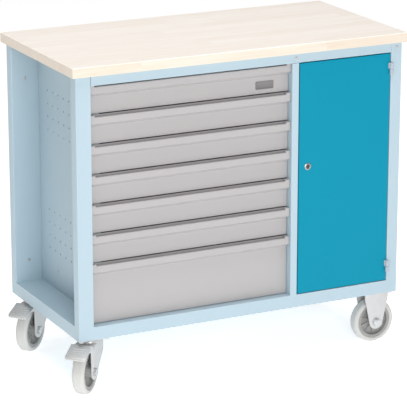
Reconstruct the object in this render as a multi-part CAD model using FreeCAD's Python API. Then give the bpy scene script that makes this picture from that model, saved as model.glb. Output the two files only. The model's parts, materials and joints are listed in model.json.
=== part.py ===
import FreeCAD, Part
import math
import os

from FreeCAD import Vector

# Mobile workbench: a folded-sheet carcass on four casters, seven drawers, a cupboard with a
# hinged door, an open tool niche with a peg wall on the left, and a wooden worktop.
# Millimetres, +Z up. Everything is laid out from the carcass's front left corner on the floor
# (x to the right, y to the back) and moved at the end, so that the finished bench stands on
# z = 0 with the middle of its floor area at the origin.

# Worktop and carcass
worktop_length = 1000.0
worktop_depth = 500.0
worktop_thickness = 26.0
worktop_overhang = 12.0
worktop_edge_radius = 2.0
frame_height = 720.0
wheel_radius = 62.5
plate_over_wheel = 30.0
sheet = 1.5
bend_radius = 1.5
cut_past = 1.0
fit_gap = 1.0
frame_length = worktop_length - 2 * worktop_overhang
frame_depth = worktop_depth - 2 * worktop_overhang
caster_height = 2 * wheel_radius + plate_over_wheel
frame_bottom = caster_height
frame_top = frame_bottom + frame_height

# Posts and rails round the front openings
left_post_width = 44.0
left_post_depth = 32.0
centre_post_width = 21.0
right_post_width = 34.0
right_post_return = 30.0
top_rail_flange = left_post_depth - 1.0
door_opening_width = 286.0
bottom_rail_height = 36.0
top_rail_height = 28.0
top_rail_lip = 20.0
opening_bottom = frame_bottom + bottom_rail_height
opening_top = frame_top - top_rail_height
door_opening_right = frame_length - right_post_width
door_opening_left = door_opening_right - door_opening_width
bay_left = left_post_width
bay_right = door_opening_left - centre_post_width

# Tool niche on the left side
niche_depth = 80.0
rear_post_depth = 32.0
rear_post_lap = 20.0
rear_post_width = niche_depth + rear_post_lap
side_flange = 16.0
peg_pitch = 37.0
peg_radius = 2.5
peg_columns = 5
peg_rows = 4
peg_rear_margin = 63.0
lower_peg_height = 147.0
upper_peg_below_top = 234.0
upper_peg_height = frame_height - upper_peg_below_top
niche_back_y = frame_depth - rear_post_depth
peg_wall_left = niche_depth
peg_wall_right = niche_depth + sheet

# Stiffening members under the floor and under the worktop
caster_channel_width = 80.0
stretcher_width = 40.0
stretcher_height = 20.0
stretcher_from_wall = 30.0
stretcher_from_partition = 60.0

# Drawers
drawer_count = 7
drawer_pitch = 81.0
drawer_sheet = 1.2
drawer_gap = 1.0
front_recess = 24.0
lip_projection = 15.0
lip_height = 18.0
lip_drop = 5.0
lip_hem = 5.0
lip_underside = 10.0
front_bottom_return = 8.0
end_cap_width = 12.0
drawer_back_gap = 18.6
drawer_box_sheet = 1.0
drawer_box_floor_gap = drawer_gap + 2 * drawer_sheet + 0.2
drawer_box_top_gap = 14.0
back_plate_gap = 1.5
badge_width = 54.0
badge_height = 22.0
badge_corner_radius = 2.75
badge_thickness = 1.2
badge_from_right = 72.0
badge_below_top = 56.0

# Drawer slides: a cabinet member, a middle member and a drawer member on each side
slide_space = 14.5
slide_sheet = 1.2
slide_height = 35.0
slide_height_step = 2.6
slide_rise = 24.0
slide_front_gap = 3.0
slide_setback = 2.0
slide_shorter = 7.0
slide_web_step = 4.2
slide_flange_reach = 9.6

# Cupboard
door_gap = 2.0
door_thickness = 20.0
door_sheet = 1.2
door_lip = 14.0
shelf_height_in_cupboard = 330.0
shelf_edge = 20.0
shelf_gap = 1.5
shelf_front_gap = 4.0
shelf_pin_radius = 3.0
shelf_pin_length = 16.0
shelf_pin_inset = 60.0

# Door hinges, of the kind that lifts off
hinge_from_door_end = 42.0
hinge_half_height = 16.5
hinge_barrel_radius = 5.5
hinge_pin_radius = 3.0
hinge_pin_clearance = 0.05
hinge_face_gap = 0.3
hinge_leaf = 8.0
hinge_leaf_thickness = 3.5
hinge_cap = 2.5

# Cylinder lock with a cam
lock_from_door_edge = 27.0
lock_height = 400.0
lock_body_radius = 8.5
lock_rosette_radius = 10.0
lock_rosette_thickness = 2.0
lock_plug_radius = 6.0
lock_plug_clearance = 0.05
lock_body_length = 24.0
cam_thickness = 3.0
cam_width = 12.0
cam_reach = 34.0
cam_gap = 0.3
cam_slot_clearance = 2.5
keyhole_width = 1.8
keyhole_height = 7.0
keyhole_depth = 9.0

# Casters
caster_inset = 50.0
tyre_width = 34.0
tyre_shoulder = 9.0
tyre_thickness = 12.5
rim_radius = wheel_radius - tyre_thickness
rim_width = 30.0
rim_ring = 9.0
rim_web = 8.0
hub_radius = 15.0
web_slope = 3.0
hub_gap = 1.0
axle_radius = 6.0
axle_clearance = 0.05
axle_head_flats = 19.0
axle_head_height = 7.0
axle_end = 1.5
fork_half_width = 27.0
fork_sheet = 2.5
fork_end_radius = 21.0
fork_shoulder = 30.0
fork_crown_height = 16.0
caster_trail = 33.0
crown_front = 36.0
plate_length = 96.0
plate_width = 90.0
plate_thickness = 3.0
plate_corner_radius = 8.0
plate_hole_spacing_x = 72.0
plate_hole_spacing_y = 68.0
plate_hole_radius = 4.2
race_radius = 29.0
lower_race_slope = 3.0
upper_race_slope = 2.0
race_depth = 6.0
race_gap = 0.3
king_pin_radius = 6.0
king_pin_clearance = 0.05
king_pin_head_radius = 9.0
king_pin_head_height = 4.5
fixed_fork_top_width = 74.0
fixed_fork_shoulder = 22.0
front_left_heading = 226.0
rear_left_heading = 220.0
fixed_heading = 180.0

# Brake pedals on the two swivel casters
pedal_sheet = 2.2
pedal_side_gap = 0.3
pedal_pivot_out = 7.0
pedal_pivot_below_plate = 24.0
pedal_pin_radius = 3.0
pedal_pin_clearance = 0.05
pedal_ear_radius = 7.0
pedal_root_gap = 2.0
pedal_root_below_plate = 11.5
pedal_tip_out = 112.0
pedal_fall = 20.0
pedal_tip_curl = 6.0
pedal_ear_length = 26.0
pedal_ear_overlap = 2.0
shoe_from_root = 9.0
shoe_length = 12.0
shoe_half_width = tyre_width / 3
shoe_tyre_gap = 3.5

# Fasteners
screw_radius = 2.0
screw_head_radius = 4.2
screw_head_height = 2.2
screw_head_rounding = 1.32
screw_length = 8.0
wood_screw_length = 18.0
bolt_radius = 4.0
bolt_flats = 13.0
bolt_head_height = 5.0
nut_height = 6.5
bolt_end = 3.0
niche_screw_inset = 98.0
peg_wall_screw_places = (130.0, 325.0)
peg_wall_screw_height = 91.0
back_screw_inset = 79.0
worktop_screw_inset = 76.0

# The pan's lower returns are wide enough for the outer caster bolts.
pan_return = caster_inset - plate_hole_spacing_y / 2 + bolt_flats / 2

ALONG_X = Vector(1, 0, 0)
ALONG_Y = Vector(0, 1, 0)
ALONG_Z = Vector(0, 0, 1)
nodes = {}


def box(x0, y0, z0, x1, y1, z1):
    """A box between two corners."""
    return Part.makeBox(x1 - x0, y1 - y0, z1 - z0, Vector(x0, y0, z0))


def rod(start, direction, radius, length):
    """A round bar from a point along a direction."""
    return Part.makeCylinder(radius, length, start, direction)


def hexagon(centre, direction, flats, height):
    """A hexagonal head or nut, its axis on the Z direction turned onto the given one."""
    corner = flats / math.sqrt(3)
    points = []
    for k in range(7):
        angle = math.radians(60 * k)
        points.append(Vector(corner * math.cos(angle), corner * math.sin(angle), 0))
    prism = Part.Face(Part.makePolygon(points)).extrude(Vector(0, 0, height))
    turn = FreeCAD.Rotation(ALONG_Z, direction)
    prism.Placement = FreeCAD.Placement(centre, turn)
    return prism


def unit(a, b):
    """Unit vector from one flat point to another."""
    length = math.hypot(b[0] - a[0], b[1] - a[1])
    return ((b[0] - a[0]) / length, (b[1] - a[1]) / length)


def folded_outline(points, thickness, side, inner_radius):
    """Closed wire, flat in XY, of a sheet folded along a line of points.

    The sheet lies to the left of the line for side +1 and to the right for side -1, and every
    fold has concentric inner and outer arcs.
    """
    headings = [unit(points[k], points[k + 1]) for k in range(len(points) - 1)]

    def on_left(heading, distance):
        return (-heading[1] * distance, heading[0] * distance)

    def edge_list(offset):
        edges = []
        shift = on_left(headings[0], offset)
        here = Vector(points[0][0] + shift[0], points[0][1] + shift[1], 0)
        for k in range(1, len(points) - 1):
            before, after = headings[k - 1], headings[k]
            turn = before[0] * after[1] - before[1] * after[0]
            turn_side = 1 if turn > 0 else -1
            outside = turn_side == side
            reach = inner_radius + thickness if outside else inner_radius
            centre_side = reach * turn_side
            n0, n1 = on_left(before, 1), on_left(after, 1)
            spread = 1 + n0[0] * n1[0] + n0[1] * n1[1]
            centre = Vector(
                points[k][0] + centre_side * (n0[0] + n1[0]) / spread,
                points[k][1] + centre_side * (n0[1] + n1[1]) / spread,
                0,
            )
            back = offset - centre_side
            mid_length = math.hypot(n0[0] + n1[0], n0[1] + n1[1])
            mid = ((n0[0] + n1[0]) / mid_length, (n0[1] + n1[1]) / mid_length)
            start = centre + Vector(n0[0] * back, n0[1] * back, 0)
            middle = centre + Vector(mid[0] * back, mid[1] * back, 0)
            end = centre + Vector(n1[0] * back, n1[1] * back, 0)
            edges.append(Part.makeLine(here, start))
            edges.append(Part.Arc(start, middle, end).toShape())
            here = end
        shift = on_left(headings[-1], offset)
        last = Vector(points[-1][0] + shift[0], points[-1][1] + shift[1], 0)
        edges.append(Part.makeLine(here, last))
        return edges

    near = edge_list(0.0)
    far = edge_list(side * thickness)
    near_start = near[0].Vertexes[0].Point
    near_end = near[-1].Vertexes[-1].Point
    far_start = far[0].Vertexes[0].Point
    far_end = far[-1].Vertexes[-1].Point
    ends = [Part.makeLine(near_end, far_end), Part.makeLine(near_start, far_start)]
    return Part.Wire(Part.__sortEdges__(near + far + ends))


def folded(points, thickness, side, across, start, end, inner_radius=bend_radius):
    """A folded sheet. across is the axis that the fold lines run along.

    Points are (x, y) for folds along Z and (y, z) for folds along X.
    """
    outline = folded_outline(points, thickness, side, inner_radius)
    solid = Part.Face(outline).extrude(Vector(0, 0, end - start))
    if across == "z":
        solid.translate(Vector(0, 0, start))
        return solid
    # Flat x becomes y, flat y becomes z, and the length becomes x.
    turn = FreeCAD.Rotation(Vector(1, 1, 1), 120)
    solid.Placement = FreeCAD.Placement(Vector(start, 0, 0), turn)
    return solid


def prism_along_y(points, y0, y1):
    """A prism with an (x, z) outline between two depths."""
    corners = [Vector(x, y0, z) for x, z in points]
    corners.append(corners[0])
    return Part.Face(Part.makePolygon(corners)).extrude(Vector(0, y1 - y0, 0))


def prism_along_x(points, x0, x1):
    """A prism with a (y, z) outline between two widths."""
    corners = [Vector(x0, y, z) for y, z in points]
    corners.append(corners[0])
    return Part.Face(Part.makePolygon(corners)).extrude(Vector(x1 - x0, 0, 0))


def upright_edges(solid):
    """The straight edges of a solid that run along Z."""
    found = []
    for edge in solid.Edges:
        a, b = edge.Vertexes[0].Point, edge.Vertexes[-1].Point
        if abs(a.x - b.x) < 1e-6 and abs(a.y - b.y) < 1e-6 and abs(a.z - b.z) > 1e-6:
            found.append(edge)
    return found


def screw(head_point, direction, length):
    """A pan-head screw whose head sits on a face at head_point and looks along direction."""
    head = rod(head_point, direction, screw_head_radius, screw_head_height)
    rim_edges = [e for e in head.Edges if e.isClosed() and abs(
        (e.CenterOfMass - head_point).dot(direction) - screw_head_height) < 1e-6]
    head = head.makeFillet(screw_head_rounding, rim_edges)
    shank = rod(head_point, direction * -1, screw_radius, length)
    return head.fuse(shank).removeSplitter()


def screw_hole(head_point, direction, depth):
    """The hole that a screw passes through."""
    return rod(head_point + direction, direction * -1, screw_radius, depth + cut_past)


# Screws that show, each with the face that its head sits on and the way that it looks.
niche_screws = []
for screw_z in (niche_screw_inset, frame_height - niche_screw_inset):
    niche_screws.append(Vector(niche_depth / 2, niche_back_y, frame_bottom + screw_z))
peg_wall_screws = []
for screw_y in peg_wall_screw_places:
    point = Vector(peg_wall_left, screw_y, frame_bottom + peg_wall_screw_height)
    peg_wall_screws.append(point)
rail_screws = []
for screw_x in (bay_right + centre_post_width / 2, frame_length - right_post_width / 2):
    rail_screws.append(Vector(screw_x, 0, frame_top - top_rail_height / 2))
back_screws = []
for back_z in (
    opening_bottom + back_screw_inset,
    (opening_bottom + frame_top) / 2,
    frame_top - back_screw_inset,
):
    back_screws.append(Vector(frame_length - side_flange / 2 - sheet, frame_depth, back_z))

stretcher_lefts = [
    peg_wall_right + stretcher_from_wall,
    bay_right - stretcher_width - stretcher_from_partition,
    door_opening_right - stretcher_width - stretcher_from_wall,
]
worktop_screws = []
for left in stretcher_lefts:
    for screw_y in (worktop_screw_inset, frame_depth - worktop_screw_inset):
        worktop_screws.append(Vector(left + stretcher_width / 2, screw_y, frame_top - sheet))


# ---------------------------------------------------------------- carcass

def make_worktop():
    """Solid wooden board with its edges eased."""
    board = box(
        -worktop_overhang, -worktop_overhang, frame_top,
        frame_length + worktop_overhang, frame_depth + worktop_overhang,
        frame_top + worktop_thickness,
    )
    top = frame_top + worktop_thickness
    eased = upright_edges(board)
    for edge in board.Edges:
        if all(abs(v.Point.z - top) < 1e-6 for v in edge.Vertexes):
            eased.append(edge)
    board = board.makeFillet(worktop_edge_radius, eased)
    for point in worktop_screws:
        board = board.cut(rod(point, ALONG_Z, screw_radius, wood_screw_length))
    return [board]


def make_base_pan():
    """Floor of the carcass: a pan turned downwards, with returns along its lower edge."""
    pan = box(0, 0, frame_bottom, frame_length, frame_depth, opening_bottom)
    pan = pan.makeFillet(bend_radius + sheet, upright_edges(pan))
    hollow = box(
        sheet, sheet, frame_bottom + sheet,
        frame_length - sheet, frame_depth - sheet, opening_bottom - sheet,
    )
    mouth = box(
        pan_return, pan_return, frame_bottom - cut_past,
        frame_length - pan_return, frame_depth - pan_return, frame_bottom + sheet + cut_past,
    )
    pan = pan.cut(hollow).cut(mouth)
    return [pan]


def make_caster_channels():
    """Two channels under the floor that carry the inner caster bolts."""
    channels = []
    low = frame_bottom
    high = opening_bottom - sheet
    last_x = frame_length - pan_return - fit_gap - caster_channel_width
    for x0 in (pan_return + fit_gap, last_x):
        x1 = x0 + caster_channel_width
        outer = box(x0, pan_return + fit_gap, low, x1, frame_depth - pan_return - fit_gap, high)
        inner = box(
            x0 + sheet, pan_return, low + sheet,
            x1 - sheet, frame_depth - pan_return, high + cut_past,
        )
        channels.append(outer.cut(inner))
    return channels


def make_left_front_post():
    """Square tube at the front left corner."""
    tube = box(0, 0, opening_bottom, left_post_width, left_post_depth, frame_top)
    tube = tube.makeFillet(bend_radius + sheet, upright_edges(tube))
    inside = box(
        sheet, sheet, opening_bottom - cut_past,
        left_post_width - sheet, left_post_depth - sheet, frame_top + cut_past,
    )
    inside = inside.makeFillet(bend_radius, upright_edges(inside))
    return [tube.cut(inside)]


def make_front_top_rail():
    """Folded rail over both front openings."""
    points = [
        (top_rail_lip, opening_top),
        (0, opening_top),
        (0, frame_top),
        (top_rail_flange, frame_top),
    ]
    rail = folded(points, sheet, -1, "x", left_post_width, door_opening_right)
    for point in rail_screws:
        rail = rail.cut(screw_hole(point, ALONG_Y * -1, screw_length))
    return [rail]


def make_top_stretchers():
    """Channels from front to back that the worktop is screwed to."""
    made = []
    for left in stretcher_lefts:
        right = left + stretcher_width
        y0 = top_rail_flange + fit_gap
        y1 = frame_depth - sheet
        low = frame_top - stretcher_height
        outer = box(left, y0, low, right, y1, frame_top)
        inner = box(
            left + sheet, y0 - cut_past, low - cut_past,
            right - sheet, y1 + cut_past, frame_top - sheet,
        )
        channel = outer.cut(inner)
        for point in worktop_screws:
            channel = channel.cut(screw_hole(point, ALONG_Z * -1, sheet * 2))
        made.append(channel)
    return made


def make_rear_panel():
    """Back of the carcass, folded round the left rear corner into the rear post."""
    points = [
        (frame_length, frame_depth),
        (0, frame_depth),
        (0, niche_back_y),
        (rear_post_width, niche_back_y),
    ]
    panel = folded(points, sheet, 1, "z", opening_bottom, frame_top)
    for point in niche_screws:
        panel = panel.cut(screw_hole(point, ALONG_Y * -1, screw_length))
    for point in back_screws:
        panel = panel.cut(screw_hole(point, ALONG_Y, screw_length))
    return [panel]


def make_pegboard_panel():
    """Peg wall of the tool niche, with a flange to the front post and one to the rear post."""
    points = [
        (sheet + fit_gap, left_post_depth + sheet),
        (niche_depth, left_post_depth + sheet),
        (niche_depth, niche_back_y),
        (niche_depth + side_flange, niche_back_y),
    ]
    panel = folded(points, sheet, -1, "z", opening_bottom, frame_top)
    last_column = niche_back_y - peg_rear_margin
    holes = []
    for first_row in (lower_peg_height, upper_peg_height):
        for row in range(peg_rows):
            for column in range(peg_columns):
                y = last_column - column * peg_pitch
                z = frame_bottom + first_row + row * peg_pitch
                start = Vector(niche_depth - cut_past, y, z)
                holes.append(rod(start, ALONG_X, peg_radius, sheet + 2))
    panel = panel.cut(Part.makeCompound(holes))
    for point in peg_wall_screws:
        panel = panel.cut(screw_hole(point, ALONG_X * -1, screw_length))
    return [panel]


def make_right_side_panel():
    """Right side, folded round the front corner into the right post."""
    points = [
        (door_opening_right, right_post_return),
        (door_opening_right, 0),
        (frame_length, 0),
        (frame_length, frame_depth - sheet),
        (frame_length - side_flange, frame_depth - sheet),
    ]
    panel = folded(points, sheet, 1, "z", opening_bottom, frame_top)
    for point in rail_screws:
        panel = panel.cut(screw_hole(point, ALONG_Y * -1, screw_length))
    for point in back_screws:
        panel = panel.cut(screw_hole(point, ALONG_Y, screw_length))
    for point in shelf_pin_points():
        panel = panel.cut(shelf_pin(point))
    return [panel]


def make_partition_panel():
    """Double wall between drawers and cupboard, folded round the centre post."""
    points = [
        (bay_right, frame_depth - sheet),
        (bay_right, 0),
        (door_opening_left, 0),
        (door_opening_left, frame_depth - sheet),
    ]
    wall = folded(points, sheet, 1, "z", opening_bottom, opening_top)
    cam_y = lock_body_length + cam_gap
    cam_z = frame_bottom + lock_height
    slot = box(
        door_opening_left - 2 * sheet, cam_y - cam_slot_clearance,
        cam_z - cam_reach - cam_slot_clearance,
        door_opening_left + cut_past, cam_y + cam_thickness + cam_slot_clearance,
        cam_z + cam_width / 2 + cam_slot_clearance,
    )
    wall = wall.cut(slot)
    for point in shelf_pin_points():
        wall = wall.cut(shelf_pin(point))
    return [wall]


# ---------------------------------------------------------------- cupboard

def shelf_underside():
    """Height of the lower edge of the shelf's turned-down sides."""
    return opening_bottom + shelf_height_in_cupboard - shelf_edge


def shelf_pin_points():
    """Where each shelf pin passes through its wall, with the way it points."""
    places = []
    height = shelf_underside() - shelf_pin_radius
    for y in (shelf_pin_inset, frame_depth - shelf_pin_inset):
        places.append((Vector(door_opening_left, y, height), ALONG_X))
        places.append((Vector(frame_length - sheet, y, height), ALONG_X * -1))
    return places


def shelf_pin(place):
    """One shelf pin, through its wall and out into the cupboard."""
    point, direction = place
    start = point - direction * (sheet + cut_past)
    return rod(start, direction, shelf_pin_radius, shelf_pin_length)


def make_shelf_pins():
    """Four pins that the shelf lies on. The right side's pins start inside its sheet."""
    pins = []
    outside = box(
        frame_length, 0, frame_bottom, 2 * frame_length, frame_depth, frame_top,
    )
    for place in shelf_pin_points():
        pins.append(shelf_pin(place).cut(outside))
    return pins


def make_cupboard_shelf():
    """Adjustable shelf with its edges turned down."""
    top = shelf_underside() + shelf_edge
    x0 = door_opening_left + shelf_gap
    x1 = frame_length - sheet - shelf_gap
    y0 = right_post_return + shelf_front_gap
    y1 = frame_depth - sheet - shelf_gap
    outer = box(x0, y0, top - shelf_edge, x1, y1, top)
    inner = box(
        x0 + sheet, y0 + sheet, top - shelf_edge - cut_past,
        x1 - sheet, y1 - sheet, top - sheet,
    )
    return [outer.cut(inner)]


door_left = door_opening_left + door_gap
door_right = door_opening_right - door_gap
door_bottom = opening_bottom + door_gap
door_top = opening_top - door_gap
lock_point = Vector(door_left + lock_from_door_edge, 0, frame_bottom + lock_height)
hinge_x = door_opening_right - door_gap / 2
hinge_y = -hinge_barrel_radius - hinge_face_gap
hinge_heights = [door_bottom + hinge_from_door_end, door_top - hinge_from_door_end]


def make_door_panel():
    """Door leaf: a shallow pan with its edges folded back and in."""
    leaf = box(door_left, 0, door_bottom, door_right, door_thickness, door_top)
    front_edges = []
    for edge in leaf.Edges:
        if all(abs(v.Point.y) < 1e-6 for v in edge.Vertexes):
            front_edges.append(edge)
    leaf = leaf.makeFillet(bend_radius, front_edges)
    hollow = box(
        door_left + door_sheet, door_sheet, door_bottom + door_sheet,
        door_right - door_sheet, door_thickness - door_sheet, door_top - door_sheet,
    )
    mouth = box(
        door_left + door_lip, door_sheet + cut_past, door_bottom + door_lip,
        door_right - door_lip, door_thickness + cut_past, door_top - door_lip,
    )
    leaf = leaf.cut(hollow).cut(mouth)
    lock_hole = rod(lock_point - ALONG_Y, ALONG_Y, lock_body_radius, door_thickness)
    return [leaf.cut(lock_hole)]


def make_hinge_sleeves():
    """Upper hinge halves on the door, each with a blind bore for the pin."""
    made = []
    for z in hinge_heights:
        foot = z + hinge_face_gap / 2
        barrel = rod(Vector(hinge_x, hinge_y, foot), ALONG_Z, hinge_barrel_radius,
                     hinge_half_height)
        leaf = box(
            hinge_x - hinge_leaf, hinge_y + hinge_barrel_radius - hinge_leaf_thickness, foot,
            hinge_x, 0, foot + hinge_half_height,
        )
        bore = rod(Vector(hinge_x, hinge_y, foot - cut_past), ALONG_Z,
                   hinge_pin_radius + hinge_pin_clearance,
                   hinge_half_height - hinge_cap + cut_past)
        made.append(barrel.fuse(leaf).removeSplitter().cut(bore))
    return made


def make_hinge_pins():
    """Lower hinge halves on the right post, each with its pin standing up."""
    made = []
    for z in hinge_heights:
        head = z - hinge_face_gap / 2
        foot = head - hinge_half_height
        barrel = rod(Vector(hinge_x, hinge_y, foot), ALONG_Z, hinge_barrel_radius,
                     hinge_half_height)
        leaf = box(
            hinge_x, hinge_y + hinge_barrel_radius - hinge_leaf_thickness, foot,
            hinge_x + hinge_leaf, 0, head,
        )
        pin = rod(Vector(hinge_x, hinge_y, foot), ALONG_Z, hinge_pin_radius,
                  2 * hinge_half_height - hinge_cap - fit_gap)
        made.append(barrel.fuse(leaf).fuse(pin).removeSplitter())
    return made


def make_lock_housing():
    """Lock body through the door, with its rosette on the face."""
    body = rod(lock_point, ALONG_Y, lock_body_radius, lock_body_length)
    rosette = rod(
        lock_point - ALONG_Y * lock_rosette_thickness, ALONG_Y,
        lock_rosette_radius, lock_rosette_thickness,
    )
    bore = rod(
        lock_point - ALONG_Y * (lock_rosette_thickness + cut_past), ALONG_Y,
        lock_plug_radius + lock_plug_clearance,
        lock_body_length + lock_rosette_thickness + 2 * cut_past,
    )
    return [body.fuse(rosette).removeSplitter().cut(bore)]


def make_lock_plug():
    """Turning plug with its keyhole in front and the cam behind, hanging down."""
    length = lock_rosette_thickness + lock_body_length + cam_gap
    front = lock_point - ALONG_Y * lock_rosette_thickness
    plug = rod(front, ALONG_Y, lock_plug_radius, length)
    cam_y = lock_body_length + cam_gap
    cam = box(
        lock_point.x - cam_width / 2, cam_y, lock_point.z - cam_reach,
        lock_point.x + cam_width / 2, cam_y + cam_thickness, lock_point.z + cam_width / 2,
    )
    keyhole = box(
        lock_point.x - keyhole_width / 2, -lock_rosette_thickness - cut_past,
        lock_point.z - keyhole_height / 2,
        lock_point.x + keyhole_width / 2, keyhole_depth - lock_rosette_thickness,
        lock_point.z + keyhole_height / 2,
    )
    return [plug.fuse(cam).removeSplitter().cut(keyhole)]


# ---------------------------------------------------------------- drawers

drawer_left = bay_left + drawer_gap
drawer_right = bay_right - drawer_gap
box_left = peg_wall_right + slide_space
box_right = bay_right - slide_space
back_plate_y = front_recess + drawer_sheet
box_front_y = back_plate_y + drawer_sheet
drawer_box_depth = niche_back_y - drawer_back_gap - box_front_y
slide_length = drawer_box_depth - slide_shorter
lip_y = front_recess - lip_projection


def drawer_slot(index):
    """Bottom and top of one drawer's share of the opening, counted from the top."""
    top = opening_top - index * drawer_pitch
    bottom = top - drawer_pitch
    if index == drawer_count - 1:
        bottom = opening_bottom
    return bottom, top


def make_drawer_front(index):
    """Folded front with a handle lip along its top, a cap at each end and a plate behind."""
    bottom, top = drawer_slot(index)
    lip_top = top - lip_drop
    lip_bottom = lip_top - lip_height
    panel_top = lip_bottom - lip_underside
    points = [
        (lip_y + lip_hem, lip_top),
        (lip_y, lip_top),
        (lip_y, lip_bottom),
        (front_recess, panel_top),
        (front_recess, bottom + drawer_gap),
        (front_recess + front_bottom_return, bottom + drawer_gap),
    ]
    front = folded(points, drawer_sheet, 1, "x", drawer_left, drawer_right, drawer_sheet)
    caps = []
    cap_top = top - drawer_gap
    outline = [
        (lip_y, cap_top),
        (lip_y, lip_bottom),
        (front_recess, panel_top),
        (back_plate_y, panel_top),
        (back_plate_y, cap_top),
    ]
    for x0 in (drawer_left, drawer_right - end_cap_width):
        x1 = x0 + end_cap_width
        front = front.cut(box(x0, lip_y, panel_top, x1, back_plate_y, top))
        caps.append(prism_along_x(outline, x0, x1))
    plate = box(drawer_left, back_plate_y, bottom + drawer_box_floor_gap,
                drawer_right, box_front_y, top - back_plate_gap)
    return [front, plate] + caps


def make_drawer_box(index):
    """Open tray of the drawer, with the drawer members of its slides."""
    bottom, top = drawer_slot(index)
    low = bottom + drawer_box_floor_gap
    high = top - drawer_box_top_gap
    y0 = box_front_y
    y1 = box_front_y + drawer_box_depth
    wall = drawer_box_sheet
    tray = box(box_left, y0, low, box_right, y1, high)
    tray = tray.cut(box(box_left + wall, y0 + wall, low + wall, box_right - wall, y1 - wall,
                        high + cut_past))
    return [tray] + slide_members(index, 2)


def slide_members(index, step):
    """A pair of slide members: 0 on the cabinet, 1 in the middle, 2 on the drawer."""
    bottom, top = drawer_slot(index)
    middle = bottom + slide_rise
    half = slide_height / 2 - step * slide_height_step
    y0 = box_front_y + slide_front_gap * (2 - step) + slide_setback
    if step == 0:
        y0 = left_post_depth + sheet + slide_setback
    if step == 2:
        web_outer = slide_space
        tip = slide_space - slide_flange_reach + slide_web_step / 2
    else:
        web_outer = step * slide_web_step
        tip = web_outer + slide_flange_reach - step * slide_web_step / 2
    web_inner = web_outer + slide_sheet if step < 2 else web_outer - slide_sheet
    low_x, high_x = min(web_outer, tip), max(web_outer, tip)
    member = box(
        peg_wall_right + low_x, y0, middle - half,
        peg_wall_right + high_x, y0 + slide_length, middle + half,
    )
    if step < 2:
        hollow_x0, hollow_x1 = web_inner, high_x + cut_past
    else:
        hollow_x0, hollow_x1 = low_x - cut_past, web_inner
    hollow = box(
        peg_wall_right + hollow_x0, y0 - cut_past, middle - half + slide_sheet,
        peg_wall_right + hollow_x1, y0 + slide_length + cut_past, middle + half - slide_sheet,
    )
    left = member.cut(hollow)
    right = left.mirror(Vector((peg_wall_right + bay_right) / 2, 0, 0), ALONG_X)
    return [left, right]


def make_badge_plate():
    """Small blank plate on the top drawer's front."""
    top = drawer_slot(0)[1]
    x1 = drawer_right - badge_from_right + badge_width / 2
    x0 = x1 - badge_width
    z = top - badge_below_top
    plate = box(
        x0, front_recess - badge_thickness, z - badge_height / 2,
        x1, front_recess, z + badge_height / 2,
    )
    corners = []
    for edge in plate.Edges:
        a, b = edge.Vertexes[0].Point, edge.Vertexes[-1].Point
        if abs(a.x - b.x) < 1e-6 and abs(a.z - b.z) < 1e-6:
            corners.append(edge)
    return [plate.makeFillet(badge_corner_radius, corners)]


# ---------------------------------------------------------------- casters
# Each caster is made about its own upright axis at the origin, with the wheel trailing along
# +X and the axle along Y, and is then turned to its heading and set under the carcass.

plate_top = caster_height
plate_bottom = plate_top - plate_thickness
race_bottom = plate_bottom - race_depth
fork_race_top = race_bottom - race_gap
crown_top = plate_top - fork_crown_height
crown_bottom = crown_top - fork_sheet
leg_inside = fork_half_width - fork_sheet
hub_length = 2 * (leg_inside - hub_gap)
pedal_root_out = caster_trail + fork_end_radius + pedal_root_gap


def stand(shapes, x, y, heading):
    """Turn shapes to a heading and set them at a caster's place."""
    placed = []
    for shape in shapes:
        copy = shape.copy()
        copy.rotate(Vector(0, 0, 0), ALONG_Z, heading)
        copy.translate(Vector(x, y, 0))
        placed.append(copy)
    return placed


def tangent_on_left(px, pz, cx, cz, radius):
    """Where a line down from a point touches a circle on the circle's left side."""
    dx, dz = px - cx, pz - cz
    distance = math.hypot(dx, dz)
    angle = math.atan2(dz, dx) + math.acos(radius / distance)
    return cx + radius * math.cos(angle), cz + radius * math.sin(angle)


def leg_pair(outline, axle_x):
    """Two fork legs with an (x, z) outline, rounded about the axle and bored for it."""
    legs = []
    for y0 in (leg_inside, -fork_half_width):
        leg = prism_along_y(outline, y0, y0 + fork_sheet)
        end = rod(Vector(axle_x, y0, wheel_radius), ALONG_Y, fork_end_radius, fork_sheet)
        legs.append(leg.fuse(end).removeSplitter())
    return legs


def axle_bore(axle_x, radius):
    """The bore for an axle across both legs."""
    return rod(Vector(axle_x, -fork_half_width - cut_past, wheel_radius), ALONG_Y, radius,
               2 * fork_half_width + 2 * cut_past)


def make_swivel_fork():
    """Crown, ball race and two legs of a swivel caster."""
    trailing_edge = caster_trail + fork_end_radius
    shoulder_z = crown_bottom - fork_shoulder
    side_x, side_z = tangent_on_left(-crown_front, shoulder_z, caster_trail,
                                     wheel_radius, fork_end_radius)
    outline = [
        (-crown_front, crown_top),
        (trailing_edge, crown_top),
        (trailing_edge, wheel_radius),
        (caster_trail, wheel_radius),
        (side_x, side_z),
        (-crown_front, shoulder_z),
    ]
    fork = box(-crown_front, -fork_half_width, crown_bottom, trailing_edge, fork_half_width,
               crown_top)
    for leg in leg_pair(outline, caster_trail):
        fork = fork.fuse(leg)
    race = Part.makeCone(
        race_radius - lower_race_slope, race_radius, fork_race_top - crown_top,
        Vector(0, 0, crown_top),
    )
    fork = fork.fuse(race).removeSplitter()
    fork = fork.cut(rod(Vector(0, 0, crown_bottom - cut_past), ALONG_Z,
                        king_pin_radius + king_pin_clearance,
                        fork_race_top - crown_bottom + 2 * cut_past))
    fork = fork.cut(axle_bore(caster_trail, axle_radius))
    fork = fork.cut(rod(pedal_pivot() - ALONG_Y * (fork_half_width + cut_past), ALONG_Y,
                        pedal_pin_radius, 2 * fork_half_width + 2 * cut_past))
    return [fork]


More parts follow.
